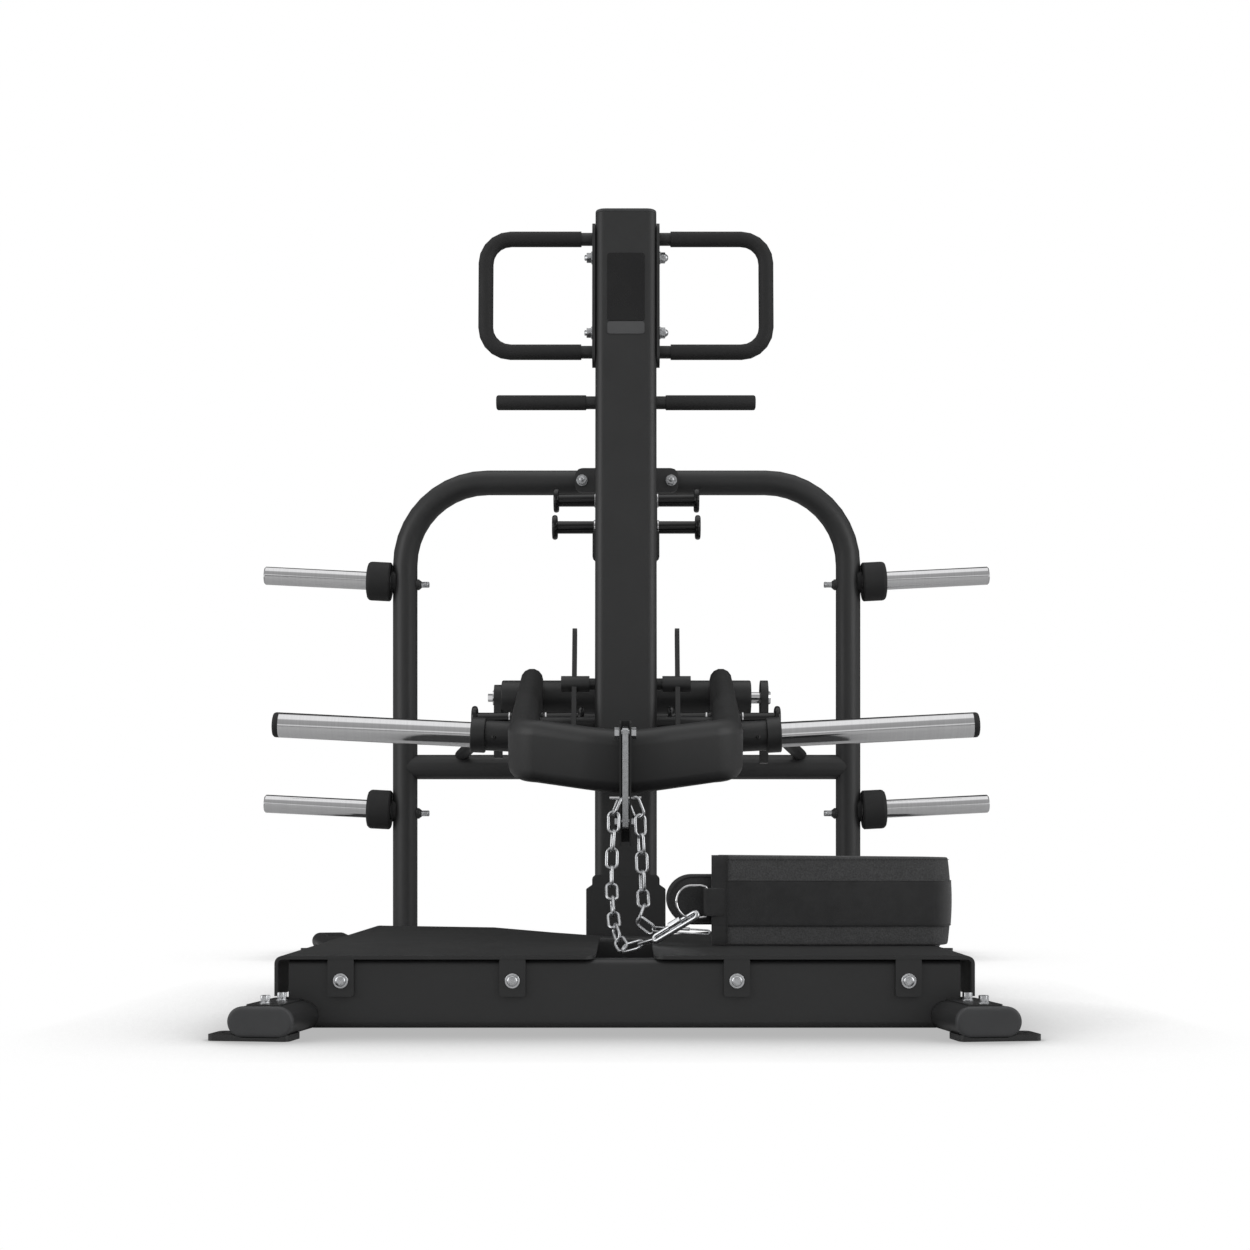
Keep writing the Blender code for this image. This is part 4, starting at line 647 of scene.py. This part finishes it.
def snap_link(name, low, high, width, wire, tilt):
    """A long oval coupling link with a threaded sleeve on one side."""
    low = Vector(low)
    high = Vector(high)
    place = between(low, high, Vector((0, 1, 0)), tilt)
    length = (high - low).length + 2 * wire
    bm = bmesh.new()
    wire_loop(bm, [place @ p for p in link_points(length, width, wire, 14)], wire, 12)
    side = Matrix.Translation((-0.10 * length, width / 2 - wire, 0))
    hexagon(bm, place @ side @ Matrix.Rotation(math.pi / 2, 4, "Y"), 3.3 * wire, 0.24 * length)
    piece(name, bm, ZINC, "belt")


def belt_line(out):
    """The belt's line seen from above, from the front left end round the right turn to the back left end."""
    front = BELT_FRONT_Y + BELT_THICKNESS / 2 - out
    back = BELT_BACK_Y - BELT_THICKNESS / 2 + out
    radius = (back - front) / 2
    turn_x = BELT_RIGHT_X - BELT_THICKNESS / 2 + out - TURN_DEPTH * radius
    points = []
    for k in range(BELT_POINTS):
        t = k / (BELT_POINTS - 1)
        points.append((BELT_LEFT_X + t * (turn_x - BELT_LEFT_X), front + 0.002 * math.sin(9 * t)))
    for k in range(1, TURN_STEPS):
        a = math.pi * k / TURN_STEPS
        points.append((turn_x + TURN_DEPTH * radius * math.sin(a), (front + back) / 2 - radius * math.cos(a)))
    for k in range(BELT_POINTS):
        t = k / (BELT_POINTS - 1)
        points.append((turn_x - t * (turn_x - BELT_LEFT_X - 0.004), back + 0.002 * math.sin(7 * t + 1)))
    return points


def swell(i, z):
    """How far the belt's round turn bellies out at a point of its line and a height."""
    share = min(max((z - BELT_LOW) / (BELT_HIGH - BELT_LOW), 0), 1)
    return TURN_BELLY * math.exp(-((i - TURN_MIDDLE) / 7.5) ** 2) * math.sin(math.pi * share)


def band(bm, line, low, high, half, edge, crown, sag=0.0, stop=None):
    """Adds a padded strip standing on edge along a line seen from above, up to a point of it."""
    profile = []
    rows = 12
    for k in range(rows + 1):
        t = k / rows
        fat = half * (1 + crown * math.sin(math.pi * t))
        profile.append((fat, low + edge + t * (high - low - 2 * edge)))
    rounding = ((0.80 * half, 0.62 * edge), (0.45 * half, 0.92 * edge), (0.0, edge))
    top = [(w, high - edge + rise) for w, rise in rounding]
    foot = [(w, low + edge - rise) for w, rise in rounding]
    outer = [*reversed(foot), *profile, *top]
    section = outer + [(-w, z) for w, z in reversed(outer[1:-1])]
    rings = []
    for i in range(stop or len(line)):
        here = Vector((*line[i], 0))
        before = Vector((*line[max(i - 1, 0)], 0))
        after = Vector((*line[min(i + 1, len(line) - 1)], 0))
        along = (after - before).normalized()
        side = Vector((along.y, -along.x, 0))
        drop = sag * (i / len(line)) * 2 if i < len(line) / 2 else sag * 2 * (1 - i / len(line))
        rings.append([
            bm.verts.new(here + side * (w + swell(i, z)) + Vector((0, 0, z - drop * (z - low) / (high - low))))
            for w, z in section
        ])
    loft(bm, rings)


def subdivide(obj):
    """One level of subdivision surface, applied."""
    modifier = obj.modifiers.new("soft", "SUBSURF")
    modifier.levels = 1
    modifier.render_levels = 1
    bpy.context.view_layer.update()
    graph = bpy.context.evaluated_depsgraph_get()
    mesh = bpy.data.meshes.new_from_object(obj.evaluated_get(graph))
    obj.modifiers.clear()
    obj.data = mesh


def tongue(name, y):
    """A padded round tongue at the belt's left end, standing on edge at a Y."""
    middle_x, middle_z = TONGUE_MIDDLE
    reach_x, reach_z = TONGUE_REACH
    rim = [(TONGUE_ROOT_X, middle_z + reach_z)]
    for k in range(25):
        a = math.radians(90 + 180 * k / 24)
        rim.append((middle_x + reach_x * math.cos(a), middle_z + reach_z * math.sin(a)))
    rim.append((TONGUE_ROOT_X, middle_z - reach_z))
    points = [Vector((x, y, z)) for x, z in rim]
    centre = Vector((0.135, y, middle_z))
    bm = bmesh.new()

    def layer(inset, lift):
        return [bm.verts.new(p + (centre - p).normalized() * inset + Vector((0, lift, 0))) for p in points]

    front = [layer(inset, -lift) for inset, lift in TONGUE_LAYERS]
    edge = layer(0, 0)
    back = [layer(inset, lift) for inset, lift in TONGUE_LAYERS]
    loft(bm, [*reversed(front), edge, *back])
    piece(f"belt_{name}", bm, FELT, "belt")


def belt():
    """The padded belt on edge: band, webbing, end bindings, tongues, loops, rings and stitches."""
    bm = bmesh.new()
    band(bm, belt_line(0.0), BELT_LOW, BELT_HIGH, BELT_THICKNESS / 2 - 0.0012, 0.0022, 0.12, sag=0.004)
    body = piece("belt_band", bm, FOAM, None)
    subdivide(body)
    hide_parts("belt")
    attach(body, "belt")
    bm = bmesh.new()
    band(bm, belt_line(BELT_THICKNESS / 2), WEB_LOW, WEB_HIGH, WEB_OUT, 0.0006, 0.1, sag=0.001)
    piece("belt_web", bm, WEB, "belt")
    stitches()
    bm = bmesh.new()
    band(bm, belt_line(BELT_THICKNESS / 2 - 0.0006), BELT_LOW + 0.0004, BELT_HIGH - 0.0004, 0.0016, 0.001, 0.0,
         stop=3)
    piece("belt_end_front", bm, WEB, "belt")
    tongue("tongue_front", BELT_FRONT_Y + 0.0150)
    tongue("tongue_back", BELT_BACK_Y - 0.010)
    rings_and_loops()


def stitch(bm, low, high, out):
    """Adds one raised thread stitch between two points."""
    along = (high - low).normalized()
    rise = along.cross(out).normalized()
    rings = []
    for share, size in ((0.0, 0.4), (0.2, 1.0), (0.8, 1.0), (1.0, 0.4)):
        centre = low.lerp(high, share) + out * 0.0001 * size
        rings.append([bm.verts.new(centre + THREAD_R * size * (math.cos(a) * rise + math.sin(a) * out))
                      for a in (math.pi * k / 3 for k in range(6))])
    loft(bm, rings)


def stitches():
    """Rows of stitches along the webbing's edges, the band's top and the end binding."""
    bm = bmesh.new()
    line = [Vector((*p, 0)) for p in belt_line(BELT_THICKNESS / 2 + WEB_OUT)]
    for i, (here, there) in enumerate(zip(line, line[1:])):
        out = Vector((there.y - here.y, here.x - there.x, 0)).normalized()
        stretch = (there - here).length
        count = max(1, round(stretch / (1.35 * STITCH)))
        for z, back in ((WEB_LOW + 0.0018, 0.0), (WEB_HIGH - 0.0018, 0.0), (BELT_HIGH - 0.0078, 0.0010)):
            for k in range(count):
                low = here.lerp(there, k / count)
                high = here.lerp(there, (k + 0.72) / count)
                lift = out * (swell(i, z) - back) + Vector((0, 0, z))
                stitch(bm, low + lift, high + lift, out)
    for row in range(END_STITCHES):
        low = Vector((BELT_LEFT_X + 0.0242, BELT_FRONT_Y - 0.0009, BELT_LOW + 0.004 + 0.0036 * row))
        stitch(bm, low, low + Vector((0, 0, 0.0026)), Vector((0, -1, 0)))
    piece("belt_stitches", bm, THREAD, "belt")


def rings_and_loops():
    """The two D-rings and the webbing loops that hold them."""
    for name, y, out in (("front", BELT_FRONT_Y - 0.0005, -1), ("back", BELT_BACK_Y + 0.0005, 1)):
        bm = bmesh.new()
        points = []
        for k in range(25):
            a = math.radians(90 + 180 * k / 24)
            points.append(Vector((RING_MIDDLE[0] + RING_REACH[0] * math.cos(a),
                                  y + out * 0.003 * (1 - math.cos(a)) * 0.5,
                                  RING_MIDDLE[1] + RING_REACH[1] * math.sin(a))))
        bar = [(0.1200, 0.0255), (0.1285, 0.0240)]
        points += [Vector((x, y, RING_MIDDLE[1] - drop)) for x, drop in bar]
        points += [Vector((RING_BAR_X, y, RING_MIDDLE[1] + 0.004 * k)) for k in range(-5, 6)]
        points += [Vector((x, y, RING_MIDDLE[1] + drop)) for x, drop in reversed(bar)]
        wire_loop(bm, points, RING_WIRE)
        piece(f"d_ring_{name}", bm, CHROME, "belt")
        bm = bmesh.new()
        strip = [Vector((0.1620, y + 0.0020 * -out, 0)), Vector((0.1450, y + 0.0006 * out, 0)),
                 Vector((0.1340, y + 0.0022 * out, 0)), Vector((0.1290, y + 0.0036 * out, 0)),
                 Vector((0.1258, y + 0.0010 * out, 0)), Vector((0.1270, y - 0.0036 * out, 0)),
                 Vector((0.1350, y - 0.0042 * out, 0)), Vector((0.1450, y - 0.0040 * out, 0))]
        band(bm, [(p.x, p.y) for p in strip], 0.1610, 0.2055, 0.0009, 0.0008, 0.0)
        piece(f"ring_loop_{name}", bm, WEB, "belt")


def by_ray(tree, kind, yes, no):
    """One of two closures by the kind of ray."""
    ray = tree.nodes.new("ShaderNodeLightPath")
    mix = tree.nodes.new("ShaderNodeMixShader")
    tree.links.new(ray.outputs[kind], mix.inputs["Fac"])
    tree.links.new(no, mix.inputs[1])
    tree.links.new(yes, mix.inputs[2])
    return mix.outputs[0]


def glow(tree, kind, level):
    """A white light closure of a level."""
    node = tree.nodes.new(kind)
    node.inputs["Color"].default_value = (1, 1, 1, 1)
    node.inputs["Strength"].default_value = level
    return node.outputs[0]


def floor():
    """A white glowing floor, with painted shade only where the machine stands close over it."""
    bpy.ops.mesh.primitive_plane_add(size=60, location=(0, 0, 0))
    ground = bpy.context.object
    ground.name = "floor"
    material, tree, shader = shader_of("pale_floor")
    tree.nodes.remove(shader)
    near = tree.nodes.new("ShaderNodeAmbientOcclusion")
    near.samples = 24
    near.inputs["Distance"].default_value = SHADE_REACH
    deep = tree.nodes.new("ShaderNodeMath")
    deep.operation = "POWER"
    deep.inputs[1].default_value = SHADE_DEPTH
    tree.links.new(near.outputs["AO"], deep.inputs[0])
    light = tree.nodes.new("ShaderNodeEmission")
    tree.links.new(spread(tree, deep.outputs[0], SHADE_LEVEL, 1.0, 0.0, 1.0), light.inputs["Strength"])
    plain = tree.nodes.new("ShaderNodeBsdfDiffuse")
    plain.inputs["Color"].default_value = (0.42, 0.42, 0.42, 1)
    look = by_ray(tree, "Is Camera Ray", light.outputs[0], plain.outputs[0])
    tree.links.new(look, tree.nodes["Material Output"].inputs["Surface"])
    ground.data.materials.append(material)


def lights():
    """Broad, soft panels above and on both sides."""
    for name, place, aim, size, power in (
            ("top", (0.0, -0.8, 4.2), (0, -0.2, 0), (4.5, 4.5), 80.0),
            ("left", (-3.8, -2.2, 1.8), (0, -0.2, 0.7), (3.0, 3.2), 55.0),
            ("right", (3.8, -2.2, 1.8), (0, -0.2, 0.7), (3.0, 3.2), 55.0),
            ("rear", (0.0, 4.2, 3.0), (0, 0.2, 0.6), (4.0, 1.6), 26.0)):
        light = bpy.data.lights.new(name, "AREA")
        light.shape = "RECTANGLE"
        light.size = size[0]
        light.size_y = size[1]
        light.energy = power
        obj = bpy.data.objects.new(name, light)
        bpy.context.scene.collection.objects.link(obj)
        obj.location = place
        obj.rotation_euler = (Vector(aim) - Vector(place)).to_track_quat("-Z", "Y").to_euler()
        obj.visible_glossy = name in ("left", "right")


def surround():
    """White behind the machine; in reflections, a bright ceiling over a grey room that darkens at the back."""
    world = bpy.data.worlds.new("surround")
    bpy.context.scene.world = world
    world.use_nodes = True
    tree = world.node_tree
    tree.nodes.clear()
    place = tree.nodes.new("ShaderNodeTexCoord")
    parts = tree.nodes.new("ShaderNodeSeparateXYZ")
    tree.links.new(place.outputs["Generated"], parts.inputs[0])
    ramp = tree.nodes.new("ShaderNodeValToRGB")
    stops = ramp.color_ramp.elements
    for share, level in ROOM_LEVELS[1:-1]:
        stops.new(share)
    for stop, (share, level) in zip(stops, ROOM_LEVELS):
        stop.position = share
        stop.color = (level, level, level, 1)
    tree.links.new(spread(tree, parts.outputs["Z"], 0.0, 1.0, -1.0, 1.0), ramp.inputs["Fac"])
    mirrored = tree.nodes.new("ShaderNodeBackground")
    tree.links.new(ramp.outputs["Color"], mirrored.inputs["Color"])
    tree.links.new(spread(tree, parts.outputs["Y"], 1.0, ROOM_BACK, 0.35, 0.75), mirrored.inputs["Strength"])
    lit = by_ray(tree, "Is Glossy Ray", mirrored.outputs[0], glow(tree, "ShaderNodeBackground", ROOM_FILL))
    seen = by_ray(tree, "Is Camera Ray", glow(tree, "ShaderNodeBackground", 1.0), lit)
    out = tree.nodes.new("ShaderNodeOutputWorld")
    tree.links.new(seen, out.inputs["Surface"])


def camera():
    """A level camera, its view shifted up to the machine's middle."""
    lens = bpy.data.cameras.new("camera")
    lens.lens = CAMERA_LENS
    lens.sensor_width = CAMERA_SENSOR
    lens.shift_x, lens.shift_y = CAMERA_SHIFT
    eye = bpy.data.objects.new("camera", lens)
    eye.location = CAMERA_PLACE
    eye.rotation_euler = (math.radians(90), 0, 0)
    bpy.context.scene.collection.objects.link(eye)
    bpy.context.scene.camera = eye
    bpy.context.scene.view_settings.view_transform = "Standard"


def main():
    """Dresses the frame and builds the scene."""
    dress_frame()
    fasteners()
    rings_and_screws()
    foot_caps()
    low_grips()
    placard()
    chains()
    snap_link("coupling_front", (0.0470, -0.7500, 0.1225), (0.1145, -0.7850, 0.1650), 0.0190, 0.0042, 50)
    snap_link("coupling_back", (0.0460, -0.6120, 0.1335), (0.1400, -0.6500, 0.1292), 0.0100, 0.0015, 78)
    belt()
    floor()
    lights()
    surround()
    camera()


main()
